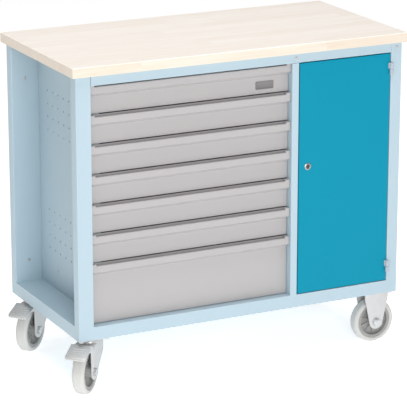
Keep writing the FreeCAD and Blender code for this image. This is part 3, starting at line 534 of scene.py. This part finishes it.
def lacquered_beech():
    """Glued beech staves along X under satin lacquer."""
    tint = colours()
    stave_width, stave_length = sizes().stave, 0.55
    row_seed, stave_seed = 7.31, 3.17
    ring_stretch, fleck_stretch = (2.2, 38, 38), (60, 700, 700)
    paleness, stave_contrast, fleck_contrast, side_shade_start = 0.55, 0.22, 0.22, 0.0015
    finish = Finish("lacquered_beech", **{"Base Color": (0.8, 0.7, 0.5), "Coat Weight": 0.2,
                                          "Coat Roughness": 0.25})
    x, y, z = finish.add("SeparateXYZ", Vector=finish.place()).outputs
    row = finish.reckon("FLOOR", finish.reckon("DIVIDE", y, stave_width))
    shift = finish.reckon("MULTIPLY", finish.chance(row), stave_length)
    lengthways = finish.reckon("ADD", x, shift)
    stave = finish.reckon("FLOOR", finish.reckon("DIVIDE", lengthways, stave_length))
    seed = finish.reckon("ADD", finish.reckon("MULTIPLY", row, row_seed),
                         finish.reckon("MULTIPLY", stave, stave_seed))
    where = finish.add("CombineXYZ", X=finish.reckon("ADD", lengthways, seed),
                       Y=finish.reckon("ADD", y, seed), Z=z).outputs[0]
    rings = finish.noise(finish.stretched(where, ring_stretch), scale=3.0, detail=4.0,
                         roughness=0.6, distortion=0.7)
    fleck = finish.noise(finish.stretched(where, fleck_stretch), scale=1.0)
    ringed = finish.ramp(rings, (0.30, tint.wood_dark), (0.62, tint.wood))
    paler = finish.mix(paleness, ringed, tint.wood)
    darkness = finish.spread(finish.chance(seed), 0.0, stave_contrast)
    toned = finish.mix(darkness, paler, tint.wood_dark, "MULTIPLY")
    pores = finish.ramp(fleck, (0.64, (0, 0, 0)), (0.72, (1, 1, 1)))
    flecked = finish.mix(finish.spread(pores, 0.0, fleck_contrast), toned, tint.wood_dark)
    # Painted shade: every face lower than the top is multiplied by the side shade colour, so the
    # worktop's sides come out darker than its top.
    on_top = finish.reckon("GREATER_THAN", z, cad_high.z - side_shade_start)
    edge = finish.mix(1.0, flecked, tint.wood_side_shade, "MULTIPLY")
    finish.join(finish.mix(on_top, edge, flecked), "Base Color")
    finish.roughened(fleck, 0.34, 0.46)
    finish.bump(fleck, 0.00006)
    return finish


def powder_coat(name, tint, roughness=0.42, shine=0.5):
    """Powder coat with a fine orange-peel texture."""
    finish = Finish(name, **{"Base Color": tuple(tint), "Specular IOR Level": shine})
    where = finish.place()
    peel = finish.noise(where, scale=1.0 / sizes().paint_grain, detail=3.0, roughness=0.6)
    finish.clouded(finish.noise(where, scale=3.0, detail=3.0), tint, 0.93)
    finish.roughened(peel, roughness - 0.05, roughness + 0.07)
    finish.bump(peel, 0.00005)
    return finish


def zinc_plate(name, tint, roughness=0.32, metallic=0.85):
    """Bright zinc plate with faint cloudy patches and rolling marks."""
    finish = Finish(name, **{"Base Color": tuple(tint), "Metallic": metallic})
    cloud = finish.noise(finish.place(), scale=55.0, detail=3.0, roughness=0.6)
    finish.clouded(cloud, tint, 0.86)
    finish.roughened(cloud, roughness - 0.07, roughness + 0.1)
    finish.bump(finish.noise(finish.place((30, 30, 900)), scale=1.0), 0.00002)
    return finish


def pale_rubber():
    """Pale non-marking rubber with a fine moulded grain."""
    return moulded("pale_rubber", colours().tyre, cloud_scale=24.0, darkest=0.92,
                   grain_scale=900.0, roughness=(0.58, 0.74), depth=0.00005)


def moulded_nylon():
    """Grey moulded nylon."""
    return moulded("moulded_nylon", colours().rim, cloud_scale=30.0, darkest=0.88,
                   grain_scale=1500.0, roughness=(0.42, 0.55), depth=0.00003)


def moulded(name, tint, cloud_scale, darkest, grain_scale, roughness, depth):
    """A moulded material: faintly cloudy, with a fine grain."""
    finish = Finish(name, **{"Base Color": tuple(tint)})
    where = finish.place()
    grain = finish.noise(where, scale=grain_scale)
    finish.clouded(finish.noise(where, scale=cloud_scale, detail=3.0), tint, darkest)
    finish.roughened(grain, *roughness)
    finish.bump(grain, depth)
    return finish


def nickel_plate(name, tint, metallic=0.9):
    """Dull nickel with fine turning marks."""
    finish = Finish(name, **{"Base Color": tuple(tint), "Metallic": metallic})
    marks = finish.noise(finish.place((1200, 20, 1200)), scale=1.0)
    finish.clouded(marks, tint, 0.9)
    finish.roughened(marks, 0.26, 0.40)
    finish.bump(marks, 0.00001)
    return finish


# ---- caster pieces
# Each caster piece is made about its own upright axis on the floor, the wheel trailing along +X
# and the axle along Y, and is then set at its caster's place and heading.

# Radii, thicknesses and distances that several of them share.
DRILL_REACH = 0.06
KING_PIN = 0.006
PEDAL_SHEET = 0.0022
PEDAL_PLAY = 0.0003
PEDAL_AHEAD = 0.007
PEDAL_PIN = 0.003
PIN_DROP = 0.024


def caster_place(caster):
    """The place and heading of one caster."""
    wheel = Vector(JOINTS[caster + "_wheel_spin"]["pos_m"])
    if caster in SWIVELS:
        axis = Vector(JOINTS[caster + "_swivel_turn"]["pos_m"])
        heading = math.atan2(wheel.y - axis.y, wheel.x - axis.x)
    else:
        axis = wheel
        heading = math.pi
    ground = Matrix.Translation((axis.x, axis.y, cad_low.z))
    return ground @ Matrix.Rotation(heading, 4, "Z")


def axle_place(x):
    """A place on the axle whose Z runs along +Y."""
    return along((0, 1, 0), (x, 0, sizes().wheel_radius))


def axle_hole(x):
    """A bar that drills both legs of a fork for the axle."""
    hole = rod(sizes().axle_radius, -DRILL_REACH, DRILL_REACH)
    hole.transform(axle_place(x))
    return hole


def tyre_mesh():
    """Tyre with rounded shoulders, a mould line and a step where it meets the rim."""
    size = sizes()
    half, outer, inner = size.tyre_width / 2, size.wheel_radius, size.rim_radius
    shoulder, seam, seam_height = 0.009, 0.0003, 0.0002
    step, step_depth, seat_depth = 0.0015, 0.0006, 0.002
    upper = [(outer, seam), (outer - seam_height, 2 * seam)]
    upper += arc((outer - shoulder, half - shoulder), shoulder, 0, 90, 9)
    upper += [(inner + 2 * step, half), (inner + step, half - step_depth),
              (inner, half - seat_depth)]
    return turned(mirrored(upper) + upper, steps=128)


def rim_mesh():
    """Wheel centre with a dished web, ribs on both sides and a hub."""
    size = sizes()
    ring, half_rim = size.rim_radius, size.rim_width / 2
    hub, half_hub = size.hub_radius, size.hub_width / 2
    web, lip, play = 0.004, size.rim_radius - 0.0085, 0.00005
    bore, bore_ease, ring_ease, ease = size.axle_radius + play, 0.0006, 0.0008, 0.001
    dish, hub_foot, hub_rise, lip_rise = 0.004, 0.0015, 0.003, 0.0025
    upper = [(bore, half_hub - bore_ease), (bore + bore_ease, half_hub),
             (hub - ease, half_hub), (hub, half_hub - ease),
             (hub + hub_foot, web + hub_rise), (hub + dish, web),
             (lip - dish, web), (lip - ease, web + lip_rise),
             (lip, half_rim - ease), (lip + ease, half_rim),
             (ring - ring_ease, half_rim), (ring, half_rim - ring_ease)]
    rib_height, rib_rise, rib_slope, rib_half, sunk = 0.0030, 0.004, 0.008, 0.0012, 0.001
    outline = [(hub - sunk, web - sunk), (hub - sunk, web + rib_height + rib_rise),
               (hub + rib_slope, web + rib_height), (lip + sunk, web + rib_height),
               (lip + sunk, web - sunk)]
    rib = prism(outline, -rib_half, rib_half)
    rib.transform(LYING)
    rib = softened(rib, width=0.0004)
    meshes = [turned(upper + mirrored(upper), steps=96)]
    for side in (1, -1):
        flip = Matrix.Scale(side, 4, Vector((0, 0, 1)))
        for k in range(size.rib_count):
            turn = Matrix.Rotation(2 * math.pi * (k + 0.5) / size.rib_count, 4, "Z")
            meshes.append(moved(rib, turn @ flip))
    return gathered(meshes)


def channel(low, half, sheet, radius, top):
    """A sheet folded down both sides: a flat crown at the top and two legs."""
    reach = half - radius
    outer = [(half, low)] + arc((reach, top - radius), radius, 0, 90, 6)
    outer += arc((-reach, top - radius), radius, 90, 180, 6) + [(-half, low)]
    inside = radius - sheet
    inner = [(-half + sheet, low)] + arc((-reach, top - radius), inside, 180, 90, 6)
    inner += arc((reach, top - radius), inside, 90, 0, 6) + [(half - sheet, low)]
    return inner + outer


def fork_mesh(side_outline, start, end, top):
    """A fork pressed from one sheet: a channel trimmed to its side outline."""
    size = sizes()
    leg_low, fold, spare, trim_half = 0.02, 0.0045, 0.005, 0.05
    section = channel(leg_low, size.fork_half, size.fork_sheet, fold, top)
    body = prism(section, start - spare, end + spare)
    # The section's x becomes y, its y becomes z and its length runs along x.
    body.transform(Matrix(((0, 0, 1, 0), (1, 0, 0, 0), (0, 1, 0, 0), (0, 0, 0, 1))))
    trim = prism(side_outline, -trim_half, trim_half)
    trim.transform(LYING)
    return worked(body, ("INTERSECT", trim))


def tangent_angle(px, pz, cx, cz, radius):
    """Angle in degrees where a line down from a point touches a circle's left side."""
    dx, dz = px - cx, pz - cz
    distance = math.hypot(dx, dz)
    return math.degrees(math.atan2(dz, dx) + math.acos(radius / distance))


def swivel_fork_mesh():
    """Fork of a swivel caster with its lower ball race."""
    size = sizes()
    crown_drop, leg_drop, corner, past = 0.016, 0.0325, 0.008, 0.001
    top = size.plate_top - crown_drop
    shoulder = top - leg_drop
    front, back = -size.crown_front, size.trail + size.fork_end
    touch = tangent_angle(front, shoulder, size.trail, size.wheel_radius, size.fork_end)
    outline = [(back, top + past)]
    outline += arc((size.trail, size.wheel_radius), size.fork_end, 0, touch - 360, 28)
    outline += arc((front + corner, shoulder), corner, 205, 180, 4) + [(front, top + past)]
    fork = fork_mesh(outline, front, back, top)
    race_low, race_top = top - past, size.plate_top - 0.0093
    eye, foot, flank, lip, crest = 0.0075, 0.029, 0.0285, 0.0270, 0.0262
    race = turned([(eye, race_low), (foot, race_low), (flank, top + 0.003),
                   (lip, race_top - 0.0008), (crest, race_top), (eye, race_top)], steps=72)
    bore = rod(KING_PIN + 0.00005, top - 10 * MM, race_top + 10 * MM)
    fork = worked(fork, ("UNION", race), ("DIFFERENCE", bore),
                  ("DIFFERENCE", axle_hole(size.trail)))
    return softened(fork, width=0.0005)


def fixed_fork_mesh():
    """Fork and plate of a fixed caster."""
    size = sizes()
    half, leg_drop, corner, past, into_plate = 0.037, 0.022, 0.004, 0.001, 0.0003
    low = size.plate_top - size.plate_sheet
    shoulder = low - leg_drop
    touch = tangent_angle(-half, shoulder, 0, size.wheel_radius, size.fork_end)
    front = [(half, low + past), (half, shoulder + corner), (half - past, shoulder)]
    outline = front + arc((0, size.wheel_radius), size.fork_end, 180 - touch, touch - 360, 28)
    outline += [(-x, z) for x, z in reversed(front)]
    fork = fork_mesh(outline, -half, half, low + into_plate)
    fork = softened(worked(fork, ("DIFFERENCE", axle_hole(0))), width=0.0005)
    return gathered([fork, top_plate_mesh()])


def top_plate_mesh():
    """A caster's plate with rounded corners."""
    size = sizes()
    low, corner = size.plate_top - size.plate_sheet, 0.008
    outline = rounded_rectangle(size.plate_length, size.plate_width, corner, 8)
    return softened(prism(outline, low, size.plate_top), width=0.0006)


def swivel_plate_mesh():
    """Plate of a swivel caster with its upper race and king pin."""
    size = sizes()
    low = size.plate_top - size.plate_sheet
    race_radius, race_depth, roll, into_plate = 0.031, 0.006, 0.0025, 0.001
    skirt, track, groove, hollow, groove_depth = 0.0275, 0.024, 0.023, 0.0225, 0.001
    race_low = low - race_depth
    floor = race_low + groove_depth / 2
    profile = [(0, low + into_plate), (race_radius, low + into_plate)]
    profile += arc((race_radius - roll, low - roll), roll, 0, -80, 5)
    profile += [(skirt, race_low), (track, race_low), (groove, race_low + groove_depth),
                (hollow, floor), (0, floor)]
    head_drop, head_height, head_radius = 0.0233, 0.0045, 0.009
    foot = size.plate_top - head_drop
    pin = rod(KING_PIN, foot + into_plate, race_low + 2 * MM, steps=32)
    head = [(0, foot)] + arc((head_radius - roll, foot + roll), roll, -90, 0, 5)
    head += [(head_radius, foot + head_height), (0, foot + head_height)]
    return gathered([top_plate_mesh(), turned(profile, steps=72), pin,
                     turned(head, steps=32)])


def axle_mesh(x):
    """Axle bolt with a chamfered head, and its nut."""
    size = sizes()
    half, flats, radius = size.fork_half, size.axle_flats, size.axle_radius
    head, nut_height, past_leg, threaded, pitch, thread_depth = (
        0.007, 0.0065, 0.008, 0.010, 0.0015, 0.0003)
    bolt = hex_bolt(flats, head, radius, 2 * half + past_leg, threaded, pitch)
    bolt.transform(along((0, 1, 0), (x, half, size.wheel_radius)))
    nut = hex_nut(flats, nut_height, radius - thread_depth)
    nut.transform(along((0, -1, 0), (x, -half, size.wheel_radius)))
    return gathered([bolt, nut])


def pedal_mesh():
    """Foot pedal: a bent plate with ribs, an ear on each side and a shoe under it."""
    size = sizes()
    sheet, half = PEDAL_SHEET, size.fork_half + PEDAL_PLAY
    wide = half + sheet
    root_x, root_z = size.trail + size.fork_end + 0.002, size.plate_top - 0.0115
    tip_x, fall, curl, corner = 0.112, 0.020, 0.006, 0.007
    rate = fall / (tip_x - root_x)
    turn = math.degrees(math.atan(rate))
    bend = 2 * sheet
    tip_z = root_z - fall
    centre = (tip_x - bend, tip_z - bend + bend * rate * 0.5)
    upper = [(root_x, root_z)] + arc(centre, bend, 90 - turn, 0, 6) + [(tip_x, tip_z - curl)]
    lower = [(tip_x - sheet, tip_z - curl)] + arc(centre, bend - sheet, 0, 90 - turn, 6)
    lower += [(root_x, root_z - sheet)]
    plate = prism(upper + lower, -wide, wide)
    plate.transform(LYING)
    plan = [(root_x - MM, -wide - MM)]
    plan += arc((tip_x - corner, -wide + corner), corner, -90, 0, 8)
    plan += arc((tip_x - corner, wide - corner), corner, 0, 90, 8)
    plan += [(root_x - MM, wide + MM)]
    plate = worked(plate, ("INTERSECT", prism(plan, 0, 0.2)))
    parts = [softened(plate, width=0.0005)]

    pivot_x, pivot_z = size.trail + PEDAL_AHEAD, JOINTS["front_left_pedal_press"]["pos_m"][2]
    ear_radius, ear_length, ear_depth, under_plate = 0.007, 0.026, 0.002, sheet * 0.7
    ear_end, ear_z = root_x + ear_length, root_z - ear_length * rate
    ear = [(root_x, root_z - under_plate), (root_x, root_z - sheet - ear_depth)]
    ear += arc((pivot_x, pivot_z), ear_radius, 135, 290, 12)
    ear += [(ear_end, ear_z - sheet - ear_depth), (ear_end, ear_z - under_plate)]
    hole = rod(PEDAL_PIN + 0.00005, -DRILL_REACH, DRILL_REACH, steps=24)
    hole.transform(along((0, 1, 0), (pivot_x, 0, pivot_z)))
    for y in (half, -wide):
        side = prism(ear, -y - sheet, -y)
        side.transform(LYING)
        parts.append(softened(worked(side, ("DIFFERENCE", hole)), width=0.0004))

    rib_start, rib_step, rib_width, rib_length, rib_height = 0.017, 0.009, 0.0032, 0.040, 0.0009
    tilt = Matrix.Rotation(math.atan(rate), 4, "Y")
    outline = rounded_rectangle(rib_width, rib_length, rib_width / 2, 5)
    rib = softened(prism(outline, -MM, rib_height), width=0.0004)
    for k in range(4):
        x = root_x + rib_start + k * rib_step
        z = root_z - rate * (x - root_x)
        parts.append(moved(rib, Matrix.Translation((x, 0, z)) @ tilt))

    shoe_start, shoe_length, over_tyre = 0.009, 0.012, 0.0035
    shoe_x = root_x + shoe_start
    reach = shoe_x - shoe_length / 2 - size.trail
    shoe_low = size.wheel_radius + math.sqrt(size.wheel_radius ** 2 - reach ** 2) + over_tyre
    shoe_high = root_z - sheet / 2 - rate * (shoe_start + shoe_length)
    shoe = block((shoe_x, -size.tyre_width / 3, shoe_low),
                 (shoe_x + shoe_length, size.tyre_width / 3, shoe_high))
    parts.append(softened(shoe, width=0.0008))
    return gathered(parts)


def pedal_pin_mesh():
    """Pin that the pedal turns on, its ends domed."""
    size = sizes()
    half = size.fork_half + PEDAL_PLAY + PEDAL_SHEET + 0.0015
    pin = rod(PEDAL_PIN, -half, half, steps=24, ease=0.0006)
    pin.transform(along((0, 1, 0), (size.trail + PEDAL_AHEAD, 0, size.plate_top - PIN_DROP)))
    return pin


# ---- small pieces

SCREW_HEAD = 0.0022


def pan_head_screw(reach):
    """Pan-head screw on z = 0 with a cross recess, its threaded shank below."""
    radius, height, rim, rim_height, roll = 0.0042, SCREW_HEAD, 0.0003, 0.0004, 0.0012
    profile = [(0, 0), (radius - rim, 0), (radius, rim_height)]
    profile += arc((radius - roll, height - roll), roll, 0, 80, 6)
    profile += [(radius * 0.45, height), (0, height)]
    recess_reach, recess_half, recess_depth = 0.0023, 0.00045, 0.0011
    cross = []
    for turn in (0, 90):
        arm = block((-recess_reach, -recess_half, height - recess_depth),
                    (recess_reach, recess_half, height + MM))
        arm.transform(Matrix.Rotation(math.radians(turn), 4, "Z"))
        cross.append(("DIFFERENCE", arm))
    shank_radius, into_head, pitch = 0.002, 0.0002, 0.0011
    shank = threaded_rod(shank_radius, -reach, into_head, pitch)
    return gathered([worked(turned(profile, steps=32), *cross), shank])


def screw_places():
    """The place of every assembly screw, its Z looking out of the head, and its reach."""
    places = []
    for low, high, points in solids_of("assembly_screws"):
        size = high - low
        axis = max(range(3), key=lambda k: size[k])
        middle = (low + high) / 2
        near_high = [p for p in points if p[axis] > high[axis] - SCREW_HEAD - 0.1 * MM]
        near_low = [p for p in points if p[axis] < low[axis] + SCREW_HEAD + 0.1 * MM]

        def width(group):
            return max((p - middle)[(axis + 1) % 3] for p in group)

        sign = 1 if width(near_high) > width(near_low) else -1
        direction = Vector((0, 0, 0))
        direction[axis] = sign
        seat = middle.copy()
        seat[axis] = (high if sign > 0 else low)[axis] - sign * SCREW_HEAD
        places.append((along(direction, seat), size[axis] - SCREW_HEAD))
    return places


# ---- operators

class BENCH_OT_stage(Operator):
    """Set up the floor, the lights and the camera"""

    bl_idname = "bench.stage"
    bl_label = "Stage"

    def execute(self, context):
        scene = context.scene
        setup = scene.bench_stage
        scene.world = bpy.data.worlds.new("soft_sky")
        scene.world.use_nodes = True
        sky = scene.world.node_tree.nodes["Background"]
        sky.inputs[0].default_value = (1.0, 1.0, 1.0, 1.0)
        sky.inputs[1].default_value = setup.sky
        scene.view_settings.view_transform = "Standard"

        mesh = bpy.data.meshes.new("studio_floor")
        side, level = 60.0, cad_low.z
        corners = [(-side, -side), (side, -side), (side, side), (-side, side)]
        mesh.from_pydata([(x, y, level) for x, y in corners], [], [range(4)])
        floor = placed("studio_floor", mesh)
        pale = Finish("light_table", **{"Base Color": (0.92, 0.92, 0.92), "Roughness": 0.9,
                                        "Specular IOR Level": 0.0,
                                        "Emission Color": (1.0, 1.0, 1.0),
                                        "Emission Strength": setup.table})
        mesh.materials.append(pale.material)

        middle = (cad_low + cad_high) / 2
        aim = Vector((0.0051, -0.0085, 0.4326))
        for name, place, size, power in (
            ("key_lamp", Vector((-1.3, -4.65, 1.6)), 1.6, setup.key),
            ("top_lamp", Vector((-0.4, -0.6, 4.6)), 3.2, setup.top),
        ):
            light = bpy.data.lights.new(name, "AREA")
            light.size = size
            light.energy = power
            lamp = placed(name, light)
            lamp.location = place
            lamp.rotation_euler = (middle - place).to_track_quat("-Z", "Y").to_euler()

        a, e = setup.azimuth, setup.elevation
        back = Vector((math.sin(a) * math.cos(e), -math.cos(a) * math.cos(e), math.sin(e)))
        lens = bpy.data.cameras.new("bench_camera")
        lens.lens = setup.lens
        lens.sensor_width = 36.0
        lens.clip_end = 100.0
        camera = placed("bench_camera", lens)
        camera.location = aim + back * setup.distance
        camera.rotation_mode = "QUATERNION"
        camera.rotation_quaternion = (-back).to_track_quat("-Z", "Y")
        scene.camera = camera
        return {"FINISHED"}


class BENCH_OT_worktop(Operator):
    """Finish the wooden worktop"""

    bl_idname = "bench.worktop"
    bl_label = "Worktop"

    def execute(self, context):
        dress(lacquered_beech(), "worktop")
        return {"FINISHED"}


class BENCH_OT_carcass(Operator):
    """Paint the carcass and fit its screws"""

    bl_idname = "bench.carcass"
    bl_label = "Carcass"

    def execute(self, context):
        dress(powder_coat("frame_powder_coat", colours().frame_paint), *FRAME_NODES)
        screws = []
        made = {}
        for place, reach in screw_places():
            key = round(reach, 4)
            if key not in made:
                made[key] = pan_head_screw(reach)
            screws.append(moved(made[key], place))
        piece("panel_screws", gathered(screws), zinc_plate("screw_zinc", colours().zinc),
              "carcass", *instead_of("assembly_screws"))
        return {"FINISHED"}


class BENCH_OT_door(Operator):
    """Paint the door and make its hinges and lock"""

    bl_idname = "bench.door"
    bl_label = "Door"

    def execute(self, context):
        tint = colours()
        paint = powder_coat("door_powder_coat", tint.door_paint, roughness=0.38, shine=0.12)
        dress(paint, "door_panel")
        self.hinges(powder_coat("hinge_powder_coat", tint.hinge_paint))
        self.lock(nickel_plate("lock_nickel", tint.nickel), nickel_plate("plug_steel", tint.plug))
        return {"FINISHED"}

    def hinges(self, paint):
        """Round knuckles with their leaves, the upper ones on the door."""
        pivot_x, pivot_y, _ = JOINTS["door_hinge"]["pos_m"]
        axis = Matrix.Translation((pivot_x, pivot_y, 0))
        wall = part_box("door_panel")[0].y - pivot_y
        knuckle, radius, ease, leaf_width, leaf_face = 0.0165, 0.0055, 0.0012, 0.008, 0.002
        pin_radius, pin_ease = 0.003, 0.0008
        for node, body, name, way in (
            ("door_hinge_sleeves", "door", "door_hinge_knuckles", -1),
            ("hinge_pins", "carcass", "post_hinge_knuckles", 1),
        ):
            meshes = []
            for low, high, _ in solids_of(node):
                top = high.z if way < 0 else low.z + knuckle
                leaf = block((min(0, way * leaf_width), leaf_face, low.z),
                             (max(0, way * leaf_width), wall, top))
                meshes.append(rod(radius, low.z, top, steps=40, ease=ease))
                meshes.append(softened(leaf, width=0.0005))
                if way > 0:
                    meshes.append(rod(pin_radius, top - MM, high.z, steps=24, ease=pin_ease))
            piece(name, moved(gathered(meshes), axis), paint, body, *instead_of(node))

    def lock(self, nickel, plug_steel):
        """Lock body with a bevelled rosette, and its plug with the keyhole and cam."""
        low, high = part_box("lock_housing")
        face, deep = low.y, high.y - low.y
        place = along((0, 1, 0), ((low.x + high.x) / 2, face, (low.z + high.z) / 2))
        bore, barrel, rosette, rosette_back = 0.00605, 0.0085, 0.0100, 0.0020
        rim = [(bore, 0.0004), (0.0068, 0), (0.0076, 0)]
        bevel = [(0.0082, 0.0004), (0.0092, 0.0007), (rosette, 0.0013), (rosette, rosette_back)]
        body = turned(rim + bevel + [(barrel, rosette_back), (barrel, deep), (bore, deep)])
        body.transform(place)
        piece("lock_case", body, nickel, "door", *instead_of("lock_housing"))

        plug_low, plug_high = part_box("lock_plug")
        radius, sunk, into_cam, ease, cam_sheet = 0.006, 0.0002, 0.0002, 0.0003, 0.003
        keyway_width, keyway_height, keyway_round, keyway_depth = 0.0018, 0.0070, 0.0008, 0.009
        back = plug_high.y - face - cam_sheet + into_cam
        plug = rod(radius, sunk, back, steps=48, ease=ease)
        keyway = prism(rounded_rectangle(keyway_width, keyway_height, keyway_round, 4),
                       -10 * MM, keyway_depth)
        plug = worked(plug, ("DIFFERENCE", keyway))
        plug.transform(place)
        half = (plug_high.x - plug_low.x) / 2
        x, _, z = place.to_translation()
        outline = arc((x, z), half, 0, 180, 14) + arc((x, plug_low.z + half), half, 180, 360, 14)
        cam = prism(outline, -plug_high.y, -plug_high.y + cam_sheet)
        cam.transform(LYING)
        piece("lock_barrel", gathered([plug, softened(cam, width=0.0003)]), plug_steel, "lock",
              *instead_of("lock_plug"))


class BENCH_OT_drawers(Operator):
    """Paint the drawers, plate their slides and fit the ball strips and the blank plate"""

    bl_idname = "bench.drawers"
    bl_label = "Drawers"

    def execute(self, context):
        tint = colours()
        front = powder_coat("drawer_front_powder_coat", tint.drawer_paint, roughness=0.40)
        tray = powder_coat("drawer_tray_powder_coat", tint.tray_paint, roughness=0.48)
        dress(front, *(name + "_front" for name in DRAWERS))
        dress(tray, *(name + "_box" for name in DRAWERS))
        slides = zinc_plate("slide_zinc", tint.zinc)
        dress(slides, "cabinet_runners", *(name + "_slides" for name in DRAWERS))
        self.blank_plate(tint)
        self.ball_strips(slides)
        return {"FINISHED"}

    def blank_plate(self, tint):
        """Plate with a raised rim and two rivets."""
        low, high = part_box("badge_plate")
        wide, tall, thick = high.x - low.x, high.z - low.z, high.y - low.y
        margin, field_depth, rivet_radius, rivet_inset = 0.003, thick * 0.65, 0.0012, 0.005
        plate = prism(rounded_rectangle(wide, tall, tall / 8), 0, thick)
        field = prism(rounded_rectangle(wide - margin, tall - margin, tall / 10),
                      field_depth, thick + MM)
        rivet = turned([(0, 0)] + arc((0, thick * 0.2), rivet_radius, -9, 90, 6), steps=20)
        for vertex in rivet.vertices:
            vertex.co.z = min(vertex.co.z, thick)
        parts = [softened(worked(plate, ("DIFFERENCE", field)), width=0.00015)]
        for x in (rivet_inset - wide / 2, wide / 2 - rivet_inset):
            parts.append(moved(rivet, Matrix.Translation((x, 0, 0))))
        mesh = gathered(parts)
        mesh.transform(along((0, -1, 0), ((low.x + high.x) / 2, high.y, (low.z + high.z) / 2)))
        piece("blank_plate", mesh, nickel_plate("badge_aluminium", tint.badge, metallic=0.4),
              "drawer_1", *instead_of("badge_plate"))

    def ball_strips(self, finish):
        """The strips of balls that run in each drawer's slides."""
        ball_radius, ball_count, pitch, first, inset = 0.0016, 9, 0.012, 0.030, 0.0030
        strip_half, strip_rise, strip_start, strip_end = 0.0006, 0.0008, 0.024, 0.132
        bm = bmesh.new()
        bmesh.ops.create_icosphere(bm, subdivisions=2, radius=ball_radius)
        ball = finished(bm)
        for name in DRAWERS:
            parts = []
            for low, high, _ in solids_of(name + "_slides"):
                x = (low.x + high.x) / 2
                for z in (low.z + inset, high.z - inset):
                    for k in range(ball_count):
                        y = low.y + first + k * pitch
                        parts.append(moved(ball, Matrix.Translation((x, y, z))))
                    strip = block((x - strip_half, low.y + strip_start, z - strip_rise),
                                  (x + strip_half, low.y + strip_end, z + strip_rise))
                    parts.append(softened(strip, width=0.0002))
            piece(name + "_ball_strips", gathered(parts), finish, name + "_middle",
                  slot_of(name + "_slides"))


class BENCH_OT_steel(Operator):
    """Plate the shelf pins and make the casters' bolts and nuts"""

    bl_idname = "bench.steel"
    bl_label = "Fasteners"

    def execute(self, context):
        plate = zinc_plate("zinc_plate", colours().zinc)
        dress(plate, "shelf_pins")
        flats = sizes().bolt_flats
        head, radius, shank, threaded, pitch = 0.005, 0.004, 0.014, 0.0115, 0.00125
        nut_height, thread_depth = 0.0065, 0.0002
        bolt = hex_bolt(flats, head, radius, shank, threaded, pitch)
        nut = hex_nut(flats, nut_height, radius - thread_depth)
        bolts = []
        for low, high, _ in solids_of("caster_bolts"):
            x, y, _ = (low + high) / 2
            if high.z - low.z > head + nut_height / 2:
                bolts.append(moved(bolt, along((0, 0, -1), (x, y, low.z + head))))
            else:
                bolts.append(moved(nut, Matrix.Translation((x, y, low.z))))
        piece("caster_plate_bolts", gathered(bolts), plate, "carcass",
              *instead_of("caster_bolts"))
        return {"FINISHED"}


class BENCH_OT_casters(Operator):
    """Make the casters"""

    bl_idname = "bench.casters"
    bl_label = "Casters"

    def execute(self, context):
        tint = colours()
        trail = sizes().trail
        fork_plate = zinc_plate("fork_plate", tint.fork_zinc, roughness=0.38, metallic=0.35)
        zinc = zinc_plate("axle_zinc", tint.zinc)
        rubber, nylon = pale_rubber(), moulded_nylon()
        tyre, rim, pedal = tyre_mesh(), rim_mesh(), pedal_mesh()
        swivel_fork, swivel_plate = swivel_fork_mesh(), swivel_plate_mesh()
        swivel_axle = gathered([axle_mesh(trail), pedal_pin_mesh()])
        fixed_fork, fixed_axle = fixed_fork_mesh(), axle_mesh(0)
        plates, forks, axles = [], [], []
        for caster in CASTERS:
            stand = caster_place(caster)
            swivels = caster in SWIVELS
            spin = stand @ axle_place(trail if swivels else 0)
            fitted = [("wheel_tyre", moved(tyre, spin), rubber, "wheel", "tyre"),
                      ("wheel_centre", moved(rim, spin), nylon, "wheel", "rim")]
            if swivels:
                upright = Matrix.Translation(stand.to_translation())
                plates.append(moved(swivel_plate, upright))
                fitted += [
                    ("pressed_fork", moved(swivel_fork, stand), fork_plate, "swivel", "fork"),
                    ("axle_bolt", moved(swivel_axle, stand), zinc, "swivel", "axle"),
                    ("foot_pedal", moved(pedal, stand), fork_plate, "pedal", "brake_pedal"),
                ]
            else:
                forks.append(moved(fixed_fork, stand))
                axles.append(moved(fixed_axle, stand))
            for name, mesh, finish, body, node in fitted:
                piece(caster + "_" + name, mesh, finish, caster + "_" + body,
                      *instead_of(caster + "_" + node))
        for name, meshes, finish, node in (
            ("swivel_top_plates", plates, fork_plate, "swivel_plates"),
            ("fixed_pressed_forks", forks, fork_plate, "fixed_forks"),
            ("fixed_axle_bolts", axles, zinc, "fixed_axles"),
        ):
            piece(name, gathered(meshes), finish, "carcass", *instead_of(node))
        return {"FINISHED"}


STEPS = (BENCH_OT_stage, BENCH_OT_worktop, BENCH_OT_carcass, BENCH_OT_door, BENCH_OT_drawers,
         BENCH_OT_steel, BENCH_OT_casters)


class BENCH_PT_panel(Panel):
    """Lists the steps and settings"""

    bl_idname = "BENCH_PT_panel"
    bl_label = "Workbench"
    bl_space_type = "VIEW_3D"
    bl_region_type = "UI"
    bl_category = "Workbench"

    def draw(self, context):
        column = self.layout.column(align=True)
        for step in STEPS:
            column.operator(step.bl_idname)
        for group in (context.scene.bench_colours, context.scene.bench_sizes,
                      context.scene.bench_stage):
            column = self.layout.column()
            for name in group.__annotations__:
                column.prop(group, name)


GROUPS = (("bench_colours", BenchColours), ("bench_sizes", BenchSizes),
          ("bench_stage", BenchStage))


def register():
    """Register the settings, the steps and the panel."""
    for name, group in GROUPS:
        bpy.utils.register_class(group)
        setattr(bpy.types.Scene, name, PointerProperty(type=group))
    for step in (*STEPS, BENCH_PT_panel):
        bpy.utils.register_class(step)


def unregister():
    """Take them away again."""
    for step in (*STEPS, BENCH_PT_panel):
        bpy.utils.unregister_class(step)
    for name, group in GROUPS:
        delattr(bpy.types.Scene, name)
        bpy.utils.unregister_class(group)


def main():
    """Make the whole bench."""
    register()
    for step in STEPS:
        group, name = step.bl_idname.split(".")
        getattr(getattr(bpy.ops, group), name)()


if __name__ == "__main__":
    main()
